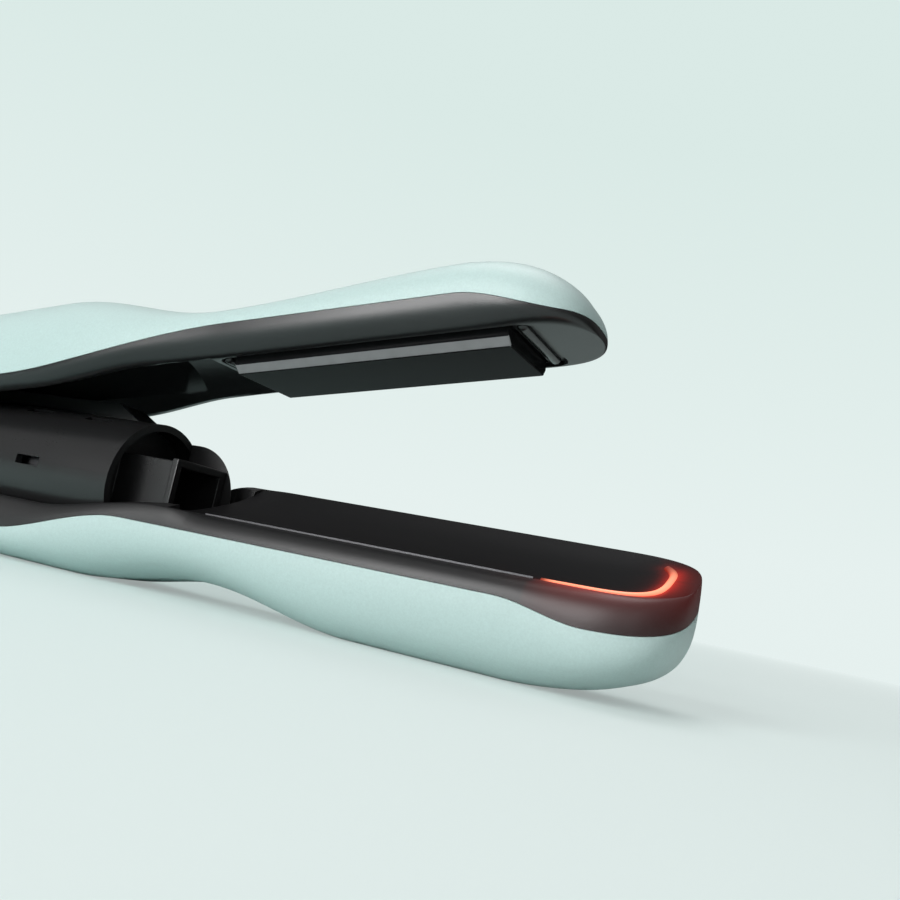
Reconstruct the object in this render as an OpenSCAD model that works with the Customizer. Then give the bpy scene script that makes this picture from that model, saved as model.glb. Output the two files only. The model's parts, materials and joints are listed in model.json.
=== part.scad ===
// Hot-air hair straightener: two hinged arms, a floating heated plate above an air tray.
// X runs from the hinge to the tip, Y across the arms, Z up. The arms are drawn closed about
// the hinge axis and the upper one is then swung open. The origin is on the flat under the handle.

/* [Arms] */
// Width of the two jaws
jaw_w = 40; // [38:0.5:43]
// Width of the handle
handle_w = 45; // [44.5:0.5:48]
// Length of the lower arm in front of the hinge
lower_len = 270; // [264:1:282]
// Length of the upper arm in front of the hinge
upper_len = 244; // [240:1:250]
// Reach of the lower arm behind the hinge
lower_tail = 22; // [21:0.5:26]
// Reach of the upper arm behind the hinge
upper_tail = 12; // [10:0.5:13]
// Angle between the arms at rest
open_angle = 10; // [8:0.5:16]
// Thickness of the painted shells
shell_t = 2; // [1.6:0.1:2.2]
// Visible seam between a shell and its frame
seam_gap = 0.15; // [0.1:0.05:0.3]
// Length over which the nose of an arm rounds off in plan
nose_run = 21; // [18:1:26]

/* [Upper arm] */
// Height of the shell over the closing plane at the neck
neck_top = 18.5; // [18:0.5:22]
// Extra height of the shell at the nose
nose_swell = 4.5; // [0:0.5:6]
// Extra height of the shell at the handle
handle_rise = 10.5; // [10:0.5:13]
// Place of the neck, from the hinge
neck_x = 146; // [140:1:152]
// Seam of the upper arm over the closing plane at the jaw
upper_seam_z = 11.5; // [11:0.5:12.5]
// How far the seam drops towards the handle
upper_seam_drop = 7.5; // [7:0.5:9]
// Face of the frame over the closing plane
frame_lip_z = 3.5; // [3:0.25:4.5]
// How far the side walls of the handle reach below that face
skirt_drop = 3.5; // [2:0.5:5]
// Radius of the soft edge round the frame
band_r = 4; // [3:0.5:4.5]

/* [Lower arm] */
// Depth of the lower arm below the closing plane
lower_depth = 34; // [33:0.5:38]
// How far the underside is drawn in at the waist
waist_rise = 5.5; // [2:0.5:6]
// Near seam of the lower arm below the closing plane
seam_near = 16.5; // [15:0.5:17]
// Far seam of the lower arm below the closing plane
seam_far = 7; // [6:0.5:8]
// Seam of the handle below the closing plane
handle_seam = 26; // [25:0.5:27]
// Near rim of the tray below the closing plane
rim_near = 11.5; // [10:0.25:12]
// Far rim of the tray below the closing plane
rim_far = 0.5; // [0.5:0.25:2]
// Rim of the handle below the closing plane
handle_rim = 17; // [16:0.5:19]
// Deck under the hinge, below the closing plane
deck_z = 9.5; // [9:0.25:11]
// Depth of the hollow in the air tray
tray_sag = 2.5; // [1.5:0.5:3.5]
// Thickness of the frame's floor
frame_t = 2; // [1.6:0.1:2.4]
// Radius of the soft edge on the lower rim
rim_r = 4.5; // [3:0.5:5]

/* [Blower] */
// Outer radius of the blower housing
blower_r = 18.5; // [18:0.1:18.8]
// Wall of the blower housing
blower_t = 2; // [1.6:0.1:2.4]
// Rear end of the blower housing, from the hinge
blower_x = 14; // [13:0.5:16]
// Length of the blower housing
blower_len = 104; // [100:1:107]
// Axis of the blower below the closing plane
blower_z = 7; // [6.5:0.25:8]
// Length of an intake slot
vent_l = 9; // [6:0.5:12]
// Width of an intake slot
vent_w = 2.6; // [1.5:0.1:3]
// Radius of the fan
fan_r = 15.5; // [13:0.25:16]
// Radius of the motor
motor_r = 11; // [9:0.25:12]
// Radius of the motor shaft
shaft_r = 1; // [0.8:0.1:1.5]
// Blades on the fan
fan_blades = 9; // [5:1:11]
// Radius over the heating coil
coil_r = 11.4; // [10.6:0.1:12.5]
// Turns of the heating coil
coil_turns = 8; // [4:1:9]
// Width of the outlet nozzle
nozzle_w = 19; // [16:0.5:20]
// Height of the outlet nozzle
nozzle_h = 16.5; // [13:0.5:17]
// Wall of the outlet nozzle
nozzle_t = 1.5; // [1.2:0.1:2]
// How far the nozzle stands out of the housing
nozzle_out = 15; // [12:0.5:18]

/* [Air slot and light] */
// Distance of the air slot's front end from the nose
slot_end = 32; // [30:1:50]
// Width of the air slot
slot_w = 1.2; // [0.8:0.1:1.6]
// Distance of the air slot from the near side
slot_inset = 8; // [7.5:0.25:9]
// Radius of the light guide
guide_r = 1; // [0.7:0.1:1.2]
// Distance of the light guide from the outside of the nose
guide_inset = 6; // [5.5:0.25:7]

/* [Plate] */
// Length of the heated plate
plate_l = 76; // [70:1:80]
// Width of the plate's flat face
plate_face_w = 24; // [22:0.5:25]
// Bevel along the plate's edges
plate_bevel = 2; // [1:0.25:2.5]
// Thickness of the heated plate
plate_t = 6; // [5:0.25:6.5]
// Rear end of the plate, from the hinge
plate_x = 150; // [149:0.5:153]
// Travel of the floating plate
float_travel = 1.2; // [0.6:0.1:1.4]
// Gap round the floating plate
plate_gap = 0.5; // [0.3:0.05:0.8]
// Depth of the shallow recess round the plate
recess_d = 1; // [0.5:0.25:1.5]

/* [Hinge] */
// Radius of the hinge pin
pin_r = 2; // [1.5:0.1:2.2]
// Radius of the hinge lugs
lug_r = 6.5; // [5.5:0.25:6.75]
// Thickness of a hinge lug
lug_t = 5; // [4:0.25:5.5]
// Outer face of the outer lugs, from the middle
lug_y = 17.5; // [17:0.25:17.75]
// Radial clearance on the pin
pin_fit = 0.05; // [0.02:0.01:0.1]
// Wire of the opening spring
spring_wire = 1.2; // [0.8:0.1:1.4]
// Turns of the opening spring
spring_turns = 7; // [4:1:8]

/* [Controls] */
// Length of the control panel
panel_l = 62; // [58:1:66]
// Width of the control panel
panel_w = 17; // [14:0.5:18]
// Middle of the control panel, from the hinge
panel_x = 48; // [45:1:52]
// Radius of a button
button_r = 3.92; // [3:0.02:4.1]
// Radial clearance of a button
button_fit = 0.08; // [0.05:0.01:0.1]
// Distance between buttons
button_pitch = 11.5; // [11:0.25:12.5]
// Travel of a button
button_travel = 0.8; // [0.4:0.1:1]
// Travel of the closing lock
lock_travel = 3; // [2:0.5:3]
// Radius of the bore for the cord
cord_bore_r = 3.5; // [2.5:0.1:4]

/* [Hidden] */
$fn = 64;

mint = "#c9e3df";
black = "#2b2b2c";
dark = "#1c1c1d";
steel = "#b9bcc0";

// Where the flat of the handle's underside stands on the table
rest_x = 62;
// Middle of the waist, from the hinge
waist_x = 150;
// Span over which jaws and handle blend into each other
blend_x0 = 95;
blend_x1 = 150;
// Span over which the lower seam climbs out of the handle
knee_x0 = 82;
knee_x1 = 128;
// Exponents of the arms' sections and of their noses in plan
section_n = 2.6;
plan_n = 2.8;
// Steps of a shell's section from seam to seam
section_steps = 20;
// Lengths over which the rear ends of the arms round off in plan
lower_tail_run = 16;
upper_tail_run = 10;
// Sides of the spring's wire
wire_sides = 6;
// General clearance between seated pieces
seat = 0.15;
// Clearance of the blower inside the closed upper arm
wrap_gap = 0.8;
// Clearance of the blower in its cradle
cradle_gap = 0.3;

blower_end = blower_x + blower_len;
// Places along the blower, from its outlet backwards: duct, coil, fan and motor
duct_x = blower_end - 40;
coil_x = duct_x + 4.6;
coil_l = 20;
coil_wire = 0.4;
coil_steps = 10;
mica_r = coil_r * cos(180 / coil_steps) - coil_wire - 0.2;
fan_x = duct_x - 13;
motor_x = fan_x - 27;
motor_l = 24;
mount_l = 18;
// Rim round the nozzle's mouth, and the start of the air tray in front of it
mouth_rim = 0.6;
tray_x = blower_end + nozzle_out + 8;
plate_end = plate_x + plate_l;
plate_w = plate_face_w + 2 * plate_bevel;
pocket_top = plate_t + 5.2;
// Reach of the recess past the plate's ends, how much further it goes at the front, and its corners
recess_run = 5.5;
recess_shift = 0.75;
recess_corner = 4;
recess_w = jaw_w - 2 * band_r - 0.4;
hollow_r = blower_r + wrap_gap;
cradle_half = blower_r + cradle_gap + seat;
hollow_top = 18;
panel_top = neck_top + handle_rise - 0.2;
panel_under = panel_top - 4.5;
board_z = hollow_top + frame_t + 0.4;
board_t = 1.2;
slot_x = tray_x + 7;
slot_l = lower_len - slot_end - slot_x;
slot_y = -(jaw_w / 2 - slot_inset);
lug_in = lug_y - lug_t - 0.4;
// Cord gland: axis, rear end of its collar, length, radii and thickness of its inner lip
gland_z = 18;
gland_x = -lower_tail - 3;
gland_l = 12;
gland_r = 6;
collar_r = 8;
lip_t = 1.2;

// Smooth step from 0 to 1
function smooth(t) = let (c = min(1, max(0, t))) c * c * (3 - 2 * c);
// Smooth bump of height 1 over -1 to 1
function bump(t) = abs(t) >= 1 ? 0 : pow(cos(90 * t), 2);
// Share of the full width left at x, where an end closes at tip over a length of run
function rounded(x, tip, run, n) =
    x <= tip - run ? 1 : pow(max(0, 1 - pow(min(1, (x - tip + run) / run), n)), 1 / n);
// Signed power, for superellipses
function spow(v, e) = sign(v) * pow(abs(v), e);

// Stations along an arm, close together where its ends round off
function stations(tail, tip, tail_run, tip_run, mid, extra = []) =
    let (a = -tail + tail_run, b = tip - tip_run)
    sorted(concat(
        [for (k = [1:5]) -tail + tail_run * (1 - cos(18 * k))],
        [for (k = [1:mid]) a + (b - a) * k / (mid + 1)],
        [for (k = [0:7]) b + tip_run * sin(90 * k / 8)],
        [for (t = [0.9945, 0.9992]) b + tip_run * t], extra));
function sorted(v) = len(v) <= 1 ? v : let (p = v[floor(len(v) / 2)]) concat(
    sorted([for (e = v) if (e < p) e]), [p], sorted([for (e = v) if (e > p) e]));

// Half the width of the arms before their ends close
function half_width(x) = jaw_w / 2
    + (handle_w - jaw_w) / 2 * smooth((blend_x1 - x) / (blend_x1 - blend_x0));
function lower_half(x) = half_width(x) * rounded(x, lower_len, nose_run, plan_n)
    * rounded(-x, lower_tail, lower_tail_run, plan_n);
function upper_half(x) = half_width(x) * rounded(x, upper_len, nose_run, plan_n)
    * rounded(-x, upper_tail, upper_tail_run, plan_n);

// Side view of the lower arm
function knee(x) = smooth((knee_x1 - x) / (knee_x1 - knee_x0));
function tail_lift(x) = smooth((blower_x - 2 - x) / 2);
function mix(a, b, t) = a + (b - a) * t;
function nose_share(x) = rounded(x, lower_len, nose_run, plan_n);
function lower_seam(x, s) =
    let (side = (s * nose_share(x) + 1) / 2,
         jaw = mix(seam_near, seam_far, side) + 3 * smooth((x - 232) / 20) * (1 - side))
    -mix(mix(jaw, handle_seam, knee(x)), gland_z - 2, smooth((10 - x) / 20));
function lower_rim(x, s) =
    let (jaw = mix(rim_near, rim_far, (s * nose_share(x) + 1) / 2),
         up = smooth((tray_x - 3 - x) / (tray_x - 3 - blend_x0)))
    -mix(mix(jaw, handle_rim, up), deck_z, tail_lift(x));
function lower_bottom(x) = -lower_depth + waist_rise * bump((x - waist_x) / 45)
    + 8 * smooth((18 - x) / 40);

// Side view of the upper arm
function upper_seam(x) = upper_seam_z - upper_seam_drop * smooth((blend_x1 - x) / 75);
function upper_top(x) = neck_top + nose_swell * smooth((x - neck_x) / 70)
    + handle_rise * smooth((neck_x - x) / 60) - 5 * smooth((10 - x) / 22);
function upper_low(x) = frame_lip_z - skirt_drop * smooth((125 - x) / 40)
    + 3 * smooth((20 - x) / 15);

// Where the cradle starts to narrow towards the tray
throat_x = blower_end + 8;
// Surface of the tray, or of the cradle that holds the blower, at x and y
function inner_half(x) = max(0.4, lower_half(x) - rim_edge(x));
function soft_edge(r, half) = min(r, half * 0.45);
// The soft edge is narrower beside the cradle, which takes the width of the blower
function rim_edge(x) =
    let (half = lower_half(x), beside = smooth((tray_x + 12 - x) / 12) * smooth((x - 2) / 8))
    mix(soft_edge(rim_r, half), min(rim_r, max(0.8, half - cradle_half)), beside);
function rim_line(x, y) =
    let (t = max(-1, min(1, y / inner_half(x)))) mix(lower_rim(x, -1), lower_rim(x, 1), (t + 1) / 2);
function tray_floor(x, y) =
    let (t = min(1, abs(y) / inner_half(x)))
    rim_line(x, y) - tray_sag * rounded(x, lower_len - 5, 26, 2) * (1 - pow(t, 3));
function cradle(x, y) =
    let (r = blower_r + cradle_gap - 4 * smooth((x - throat_x) / (tray_x - throat_x)))
    abs(y) >= r ? rim_line(x, y) : min(rim_line(x, y), -blower_z - sqrt(r * r - y * y));
function lower_inside(x, y) =
    x < blower_x - 2 ? rim_line(x, y) : x < tray_x ? cradle(x, y) : tray_floor(x, y);
function lower_under(x, y) =
    min([for (d = [-frame_t, 0, frame_t]) lower_inside(x + d, y)]) - frame_t;

// Level between the two seams of the lower arm, and the underside of its frame
function between_seams(x, y) =
    seam_gap + mix(lower_seam(x, -1), lower_seam(x, 1), (y / max(0.1, lower_half(x)) + 1) / 2);
function frame_under(x, y) = min(between_seams(x, y), lower_under(x, y));

// Solid from equal closed rings, one after another along X
module loft(rings) {
    m = len(rings[0]);
    n = len(rings);
    first = n * m;
    sides = [for (i = [0:n - 2], j = [0:m - 1])
        let (a = i * m + j, b = i * m + (j + 1) % m, c = b + m, d = a + m) each [[a, b, c], [a, c, d]]];
    ends = [for (j = [0:m - 1]) let (k = (j + 1) % m) each [
        [first, k, j], [first + 1, (n - 1) * m + j, (n - 1) * m + k]]];
    polyhedron(concat([for (r = rings) each r], [middle(rings[0]), middle(rings[n - 1])]), concat(sides, ends));
}
function middle(ring) = [for (k = [0:len(ring) - 1]) 1] * ring / len(ring);

// Open trough from an outer and an inner grid of rows, each row running from edge to edge
module trough(outer, inner) {
    n = len(outer);
    m = len(outer[0]);
    o = function(i, j) i * m + j;
    q = function(i, j) n * m + i * m + j;
    walls = [for (i = [0:n - 2], j = [0:m - 2]) each [
        [o(i, j), o(i, j + 1), o(i + 1, j + 1)], [o(i, j), o(i + 1, j + 1), o(i + 1, j)],
        [q(i, j), q(i + 1, j + 1), q(i, j + 1)], [q(i, j), q(i + 1, j), q(i + 1, j + 1)]]];
    edges = [for (i = [0:n - 2]) each [
        [o(i, 0), o(i + 1, 0), q(i + 1, 0)], [o(i, 0), q(i + 1, 0), q(i, 0)],
        [o(i, m - 1), q(i + 1, m - 1), o(i + 1, m - 1)], [o(i, m - 1), q(i, m - 1), q(i + 1, m - 1)]]];
    ends = [
        [for (j = [m - 1:-1:0]) o(0, j)], [for (j = [0:m - 1]) q(0, j)],
        [for (j = [0:m - 1]) o(n - 1, j)], [for (j = [m - 1:-1:0]) q(n - 1, j)],
        [o(0, 0), q(0, 0), q(0, m - 1), o(0, m - 1)],
        [o(n - 1, m - 1), q(n - 1, m - 1), q(n - 1, 0), o(n - 1, 0)]];
    polyhedron(concat([for (r = outer) each r], [for (r = inner) each r]), concat(walls, edges, ends));
}

// Tube of radius r along points, with its rings square to the path
module tube(path, r, sides) {
    n = len(path);
    loft([for (i = [0:n - 1])
        let (t = unit(path[min(n - 1, i + 1)] - path[max(0, i - 1)]),
             u = unit(cross(t, abs(t[2]) < 0.9 ? [0, 0, 1] : [0, 1, 0])), v = cross(u, t))
        [for (k = [0:sides - 1]) path[i] + r * (cos(360 * k / sides) * u + sin(360 * k / sides) * v)]]);
}
function unit(v) = v / norm(v);

// The lower arm stands on the table, and the upper one swings about the hinge
module lower_arm() { translate([-rest_x, 0, lower_depth]) children(); }
module upper_arm() { lower_arm() rotate([0, -open_angle, 0]) children(); }
// Things drawn along +Z turned to lie along +X
module along_x(x, z = 0) { translate([x, 0, z]) rotate([0, 90, 0]) children(); }
module along_y(y) { translate([0, y, 0]) rotate([-90, 0, 0]) children(); }
module ring(r_out, r_in, h) {
    difference() {
        cylinder(r = r_out, h = h);
        translate([0, 0, -1]) cylinder(r = r_in, h = h + 2);
    }
}
module rounded_bar(l, w, h, r) {
    linear_extrude(h) rounded_rect(l, w, r);
}
module rounded_rect(l, w, r) {
    square([l, w - 2 * r], center = true);
    square([l - 2 * r, w], center = true);
    for (x = [-1, 1], y = [-1, 1]) translate([x * (l / 2 - r), y * (w / 2 - r)]) circle(r);
}

// One row of a shell's section, from seam to seam; dir is -1 for a lower shell and 1 for an upper.
// Its seams are spread over the share w of the arm's width
function shell_row(x, half, seam_n, seam_f, reach, inset, dir, w = 1) =
    [for (k = [0:section_steps])
        let (a = 180 - 180 * k / section_steps, y = spow(cos(a), 2 / section_n), s = sin(a),
             seam = mix(seam_n, seam_f, (w * y + 1) / 2))
        [x, y * max(0.1, half - inset),
         seam + dir * max(0.1, dir * (reach - seam) - inset) * min(1, 1.03 * pow(s, 2 / section_n))]];

// Stations of the lower arm, with close pairs at the steps of its frame
step = 0.05;
lower_xs = stations(lower_tail, lower_len, lower_tail_run, nose_run, 21,
    concat([throat_x, mix(throat_x, tray_x, 0.25)], [for (x = [blower_x - 2 - frame_t, blower_x - 2, tray_x, tray_x + frame_t],
        d = [-step, step]) x + d]));
upper_xs = stations(upper_tail, upper_len, upper_tail_run, nose_run, 20);

module lower_shell() {
    row = function(x, inset, shift)
        let (n = lower_seam(x + shift, -1), f = lower_seam(x + shift, 1), low = min(n, f),
             close = rounded(x, lower_len, 38, 2) * rounded(-x, lower_tail, 14, 2))
        shell_row(x + shift, lower_half(x), n, f, low + (lower_bottom(x) - low) * close, inset, -1,
            max(0.1, lower_half(x) - inset) / lower_half(x + shift));
    color(mint) lower_arm() difference() {
        trough([for (x = lower_xs) row(x, 0, 0)],
            [for (x = lower_xs) row(x, shell_t, end_shift(x, lower_tail, lower_tail_run, lower_len))]);
        gland_hole();
    }
}
// The inner grid is drawn in from both ends of the shell
function end_shift(x, tail, tail_run, tip) =
    shell_t * (pow(max(0, tail_run - tail - x) / tail_run, 2) - pow(max(0, x - tip + nose_run) / nose_run, 2));

// Section of the lower frame: soft rim, tray or cradle, soft rim, and the floor's underside
function frame_row(x) =
    let (half = lower_half(x), r = rim_edge(x), wi = half - r,
         n = lower_seam(x, -1) + seam_gap, f = lower_seam(x, 1) + seam_gap,
         wu = max(0.4, min(lower_half(x - fit_back), lower_half(x + fit_back)) - shell_t - seat))
    concat(
        [for (k = [0:4]) let (a = 22.5 * k)
            [x, -half + r * (1 - cos(a)), mix(n, lower_rim(x, -1), sin(a))]],
        [for (k = [1:13]) let (y = wi * sin(90 * (k - 7) / 7)) [x, y, lower_inside(x, y)]],
        [for (k = [4:-1:0]) let (a = 22.5 * k)
            [x, half - r * (1 - cos(a)), mix(f, lower_rim(x, 1), sin(a))]],
        [for (k = [7:-1:-7]) let (y = abs(k) == 7 ? wu * sign(k) : (wu - 0.2) * sin(15 * k))
            [x, y, abs(k) < 7 ? frame_under(x, y) : between_seams(x, y)]]);
// The pieces that fit inside a shell take its width this far towards its ends
fit_back = shell_t + 0.5;

module lower_frame() {
    color(black) lower_arm() difference() {
        loft([for (x = lower_xs) frame_row(x)]);
        translate([slot_x, slot_y - slot_w / 2, -lower_depth / 2 - 6]) cube([slot_l, slot_w, lower_depth / 2 + 6]);
        gland_hole();
    }
}
module gland_hole() {
    along_x(gland_x - 6, -gland_z) cylinder(r = collar_r + seat, h = gland_l + 6 + 2 * lip_t);
}

module blower_housing() {
    color(dark) lower_arm() difference() {
        along_x(blower_x, -blower_z) cylinder(r = blower_r, h = blower_len);
        along_x(blower_x + blower_t, -blower_z) cylinder(r = blower_r - blower_t, h = blower_len);
        intake_slots();
        // Way for the leads
        translate([blower_x - 1, lead_y - 2, -blower_z + 8]) cube([4, 4, 4]);
    }
}
lead_y = 8;
// Staggered rows of slots round the housing
module intake_slots() {
    rows = 6;
    pitch = 12;
    first_x = blower_end - 19;
    first_a = 87;
    for (i = [0:rows - 1], a = [0:120:240])
        along_x(first_x - pitch * i, -blower_z)
            rotate([0, 0, first_a + a + (i % 2) * 60])
                translate([blower_r - blower_t / 2, 0, 0]) cube([2 * blower_t, vent_w, vent_l], center = true);
}

// Far cheek that closes the housing down onto the tray
module front_cowl() {
    run = 3;
    color(dark) lower_arm() intersection() {
        union() {
            along_x(blower_end + seat, -blower_z) cylinder(r = blower_r, h = run);
            translate([blower_end + seat + run, 0, -blower_z]) sphere(r = blower_r);
        }
        translate([blower_end + seat, nozzle_w / 2 + mouth_rim + 2 * seat, -blower_z - 15])
            cube([tray_x - blower_end - 2 * seat, blower_r, 15 + blower_r]);
    }
}

// Duct for the leads along the far side of the housing, up to the hinge
module lead_duct() {
    top = hollow_top - 1.5;
    color(black) lower_arm() difference() {
        translate([0, 13, 0]) rotate([90, 0, 0]) linear_extrude(10)
            polygon([[blower_x + 1, 0], [blower_x + 1, top], [blower_end - 24, top],
                     [blower_end - 8, -blower_z + blower_r - 3], [blower_end - 8, 0]]);
        along_x(blower_x - 1, -blower_z) cylinder(r = blower_r + 0.02, h = blower_len + 2);
        translate([blower_x - 1, lead_y - 2, top - 5]) cube([blower_len - 32, 4, 3]);
    }
}

module outlet_nozzle() {
    back = blower_end - 8;
    front = blower_end + nozzle_out;
    zc = -blower_z;
    color(dark) lower_arm() difference() {
        union() {
            translate([back, -nozzle_w / 2, zc - nozzle_h / 2]) cube([front - back, nozzle_w, nozzle_h]);
            along_x(back, zc) cylinder(r = blower_r - blower_t - 0.1, h = 2);
            // Collar round the mouth
            translate([front - 2, -nozzle_w / 2 - mouth_rim, zc - nozzle_h / 2 - mouth_rim])
                cube([2, nozzle_w + 2 * mouth_rim, nozzle_h + 2 * mouth_rim]);
        }
        translate([back - 1, -nozzle_w / 2 + nozzle_t, zc - nozzle_h / 2 + nozzle_t])
            cube([front - back + 2, nozzle_w - 2 * nozzle_t, nozzle_h - 2 * nozzle_t]);
    }
}

module inner_duct() {
    r = blower_r - blower_t - 1.6;
    color(steel) lower_arm() union() {
        along_x(duct_x, -blower_z) ring(r, r - 0.8, blower_end - 8 - duct_x);
        along_x(blower_end - 9.2, -blower_z) ring(blower_r - blower_t - 0.1, r - 0.4, 1.2);
    }
}

// Mica cross that carries the coil
module heater_frame() {
    l = 28;
    r = mica_r;
    color("#b8a07a") lower_arm() along_x(duct_x + 2, -blower_z) union() {
        for (a = [0, 90]) rotate([0, 0, a]) translate([-r, -0.4, 0]) cube([2 * r, 0.8, l]);
        // Feet that reach the duct
        for (a = [0:90:270], z = [0, l - 3]) rotate([0, 0, a])
            translate([r - 1, -0.4, z]) cube([blower_r - blower_t - 2.45 - r + 1, 0.8, z == 0 ? 1.5 : 3]);
    }
}

module heating_coil() {
    count = coil_steps * coil_turns;
    path = [for (k = [0:count])
        [coil_r * cos(360 * k / coil_steps), coil_r * sin(360 * k / coil_steps), coil_l * k / count]];
    echo("least gap of the coil to itself", least_gap(path, coil_steps / 2) - 2 * coil_wire);
    color("#8a8d91") lower_arm() along_x(coil_x, -blower_z) tube(path, coil_wire, 5);
}

module fan_motor() {
    color(steel) lower_arm() along_x(motor_x, -blower_z) difference() {
        union() {
            cylinder(r = motor_r, h = motor_l);
            cylinder(r = 4, h = motor_l + 2);
        }
        translate([0, 0, 4]) cylinder(r = shaft_r + pin_fit, h = 30);
    }
}
// Rubber spider that holds the motor in the housing
module motor_mount() {
    color("#3a3a3a") lower_arm() along_x(motor_x + 3, -blower_z) union() {
        ring(motor_r + 1.5, motor_r + 0.05, mount_l);
        for (a = [0:60:300]) rotate([0, 0, a]) translate([motor_r + 1, -1, 0])
            cube([blower_r - blower_t - motor_r - 1.15, 2, mount_l]);
    }
}
module fan_impeller() {
    hub = 5;
    color("#d8d8d8") lower_arm() along_x(fan_x, -blower_z) union() {
        translate([0, 0, -22]) cylinder(r = shaft_r, h = 24);
        cylinder(r = hub, h = 9);
        for (k = [0:fan_blades - 1]) rotate([0, 0, 360 * k / fan_blades])
            translate([hub - 0.6, 0, 4.5]) rotate([35, 0, 0])
                translate([0, -0.5, -4.2]) cube([fan_r - hub + 0.6 - 0.3, 1, 8.4]);
    }
}

// Lip that narrows the air slot
module slot_lip() {
    z = tray_floor(slot_x, slot_y);
    color("#6f7173") lower_arm() translate([slot_x + seat, slot_y - slot_w / 2 + 0.03, z - frame_t])
        cube([slot_l - 2 * seat, slot_w * 0.4, frame_t + 0.5]);
}
// Channel that feeds the slot from below
module slot_duct() {
    w = 6;
    h = 6;
    top = min([for (x = [slot_x, slot_x + slot_l], y = [-w / 2, 0, w / 2]) frame_under(x, slot_y + y)]) - 2 * seat;
    color(dark) lower_arm() translate([slot_x - 1, slot_y - w / 2, top - h]) difference() {
        cube([slot_l + 2, w, h]);
        translate([1, 1, 1]) cube([slot_l, w - 2, h]);
    }
}

// The glow line: a guide in the tray round the nose, from the end of the slot to the far corner
function nose_path(inset, rise) =
    let (tip = lower_len - inset, w = jaw_w / 2 - inset, x0 = slot_x + slot_l + 1.5,
         run = min(nose_run - 3, tip - x0 - 3), a_end = 52)
    concat(
        [for (k = [0:4]) let (x = mix(x0, tip - run, k / 4),
            y = mix(slot_y + 0.3, -w, smooth(k / 4))) [x, y, tray_floor(x, y) + rise]],
        [for (a = concat([for (a = [12:12:84]) a], [90], [for (a = [96:12:180 - a_end]) a])) let (
            x = tip - run + run * spow(sin(a), 2 / plan_n), y = -w * spow(cos(a), 2 / plan_n))
            [x, y, tray_floor(x, y) + rise]]);
module light_guide() {
    color("#ff7a50") lower_arm() tube(nose_path(guide_inset, guide_r + 0.45), guide_r, 8);
}
// Strip of lamps under the nose
module light_board() {
    t = 1.2;
    outer = nose_path(guide_inset + 1, 0);
    inner = nose_path(guide_inset + 4, 0);
    top = min([for (p = concat(outer, inner)) frame_under(p[0], p[1])]) - 4 * seat;
    color("#e9e9e2") lower_arm() translate([0, 0, top - t]) linear_extrude(t)
        polygon(concat([for (p = outer) [p[0], p[1]]],
            [for (i = [len(inner) - 1:-1:0]) [inner[i][0], inner[i][1]]]));
}

// Bracket with the two outer lugs
module lower_hinge_bracket() {
    base_t = 2;
    color(dark) lower_arm() difference() {
        union() {
            translate([-10, -lug_y, -deck_z + 0.05]) cube([20, 2 * lug_y, base_t]);
            for (s = [-1, 1]) mirror([0, s < 0 ? 1 : 0, 0]) {
                along_y(lug_y - lug_t) cylinder(r = lug_r, h = lug_t);
                translate([-lug_r, lug_y - lug_t, -deck_z + 0.05]) cube([2 * lug_r, lug_t, deck_z]);
            }
        }
        along_y(-30) cylinder(r = pin_r + pin_fit, h = 60);
        for (x = [-7.5, 7.5], y = [-4, 4]) translate([x, y, -deck_z - 1]) cylinder(r = 1.5, h = 4);
    }
}
// Bracket with the two inner lugs, hung from the roof of the upper handle
module upper_hinge_bracket() {
    top = hollow_top - 0.05;
    color(dark) upper_arm() difference() {
        union() {
            translate([-3, -lug_in, top - 2]) cube([18, 2 * lug_in, 2]);
            for (s = [-1, 1]) mirror([0, s < 0 ? 1 : 0, 0]) {
                along_y(lug_in - lug_t) cylinder(r = lug_r, h = lug_t);
                translate([-3, lug_in - lug_t, 0]) cube([lug_r + 2, lug_t, top]);
            }
            // Stop that the spring's upper leg bears on
            translate([spring_r - spring_wire / 2 - seat - stop_r, 0, stop_z])
                along_y(-lug_in + lug_t - 1) cylinder(r = stop_r, h = 2 * (lug_in - lug_t + 1));
        }
        along_y(-30) cylinder(r = pin_r + pin_fit, h = 60);
        for (x = upper_screw_x, y = [-4, 4]) translate([x, y, top - 3]) cylinder(r = 1.5, h = 4);
    }
}
module hinge_pin() {
    color(steel) lower_arm() union() {
        along_y(-lug_y - 0.05) cylinder(r = pin_r, h = 2 * lug_y + 0.1);
        for (s = [-1, 1]) along_y(s < 0 ? -lug_y - 1.05 : lug_y + 0.05) cylinder(r = pin_r + 1, h = 1);
    }
}
// Coil spring round the pin, between the inner lugs: one leg goes down to the lower bracket,
// the other up in front of the stop on the upper one
spring_r = pin_r + pin_fit + 0.35 + spring_wire / 2;
stop_r = 1.2;
stop_z = 8;
upper_screw_x = [1, 11];
module hinge_spring() {
    steps = 12;
    start = -60;
    leg = 5;
    l = 2 * (lug_in - lug_t) - spring_wire - 0.8;
    drop = (deck_z - 2.1 - spring_wire / 2 + spring_r * sin(start)) / cos(start) - 0.2;
    total = 360 * spring_turns - start;
    coil = [for (k = [0:steps * spring_turns + 2]) let (t = k / (steps * spring_turns + 2), a = start + total * t)
        [spring_r * cos(a), -l / 2 + l * t, spring_r * sin(a)]];
    down = [for (k = [leg:-1:1]) coil[0] + drop * k / leg * [sin(start), 0, -cos(start)]];
    up = [for (k = [1:leg]) coil[len(coil) - 1] + [0, 0, (stop_z + 1) * k / leg]];
    path = concat(down, coil, up);
    echo("least gap of the spring to itself", least_gap(path, steps / 2) - spring_wire);
    color(steel) lower_arm() tube(path, spring_wire / 2, wire_sides);
}
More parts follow.
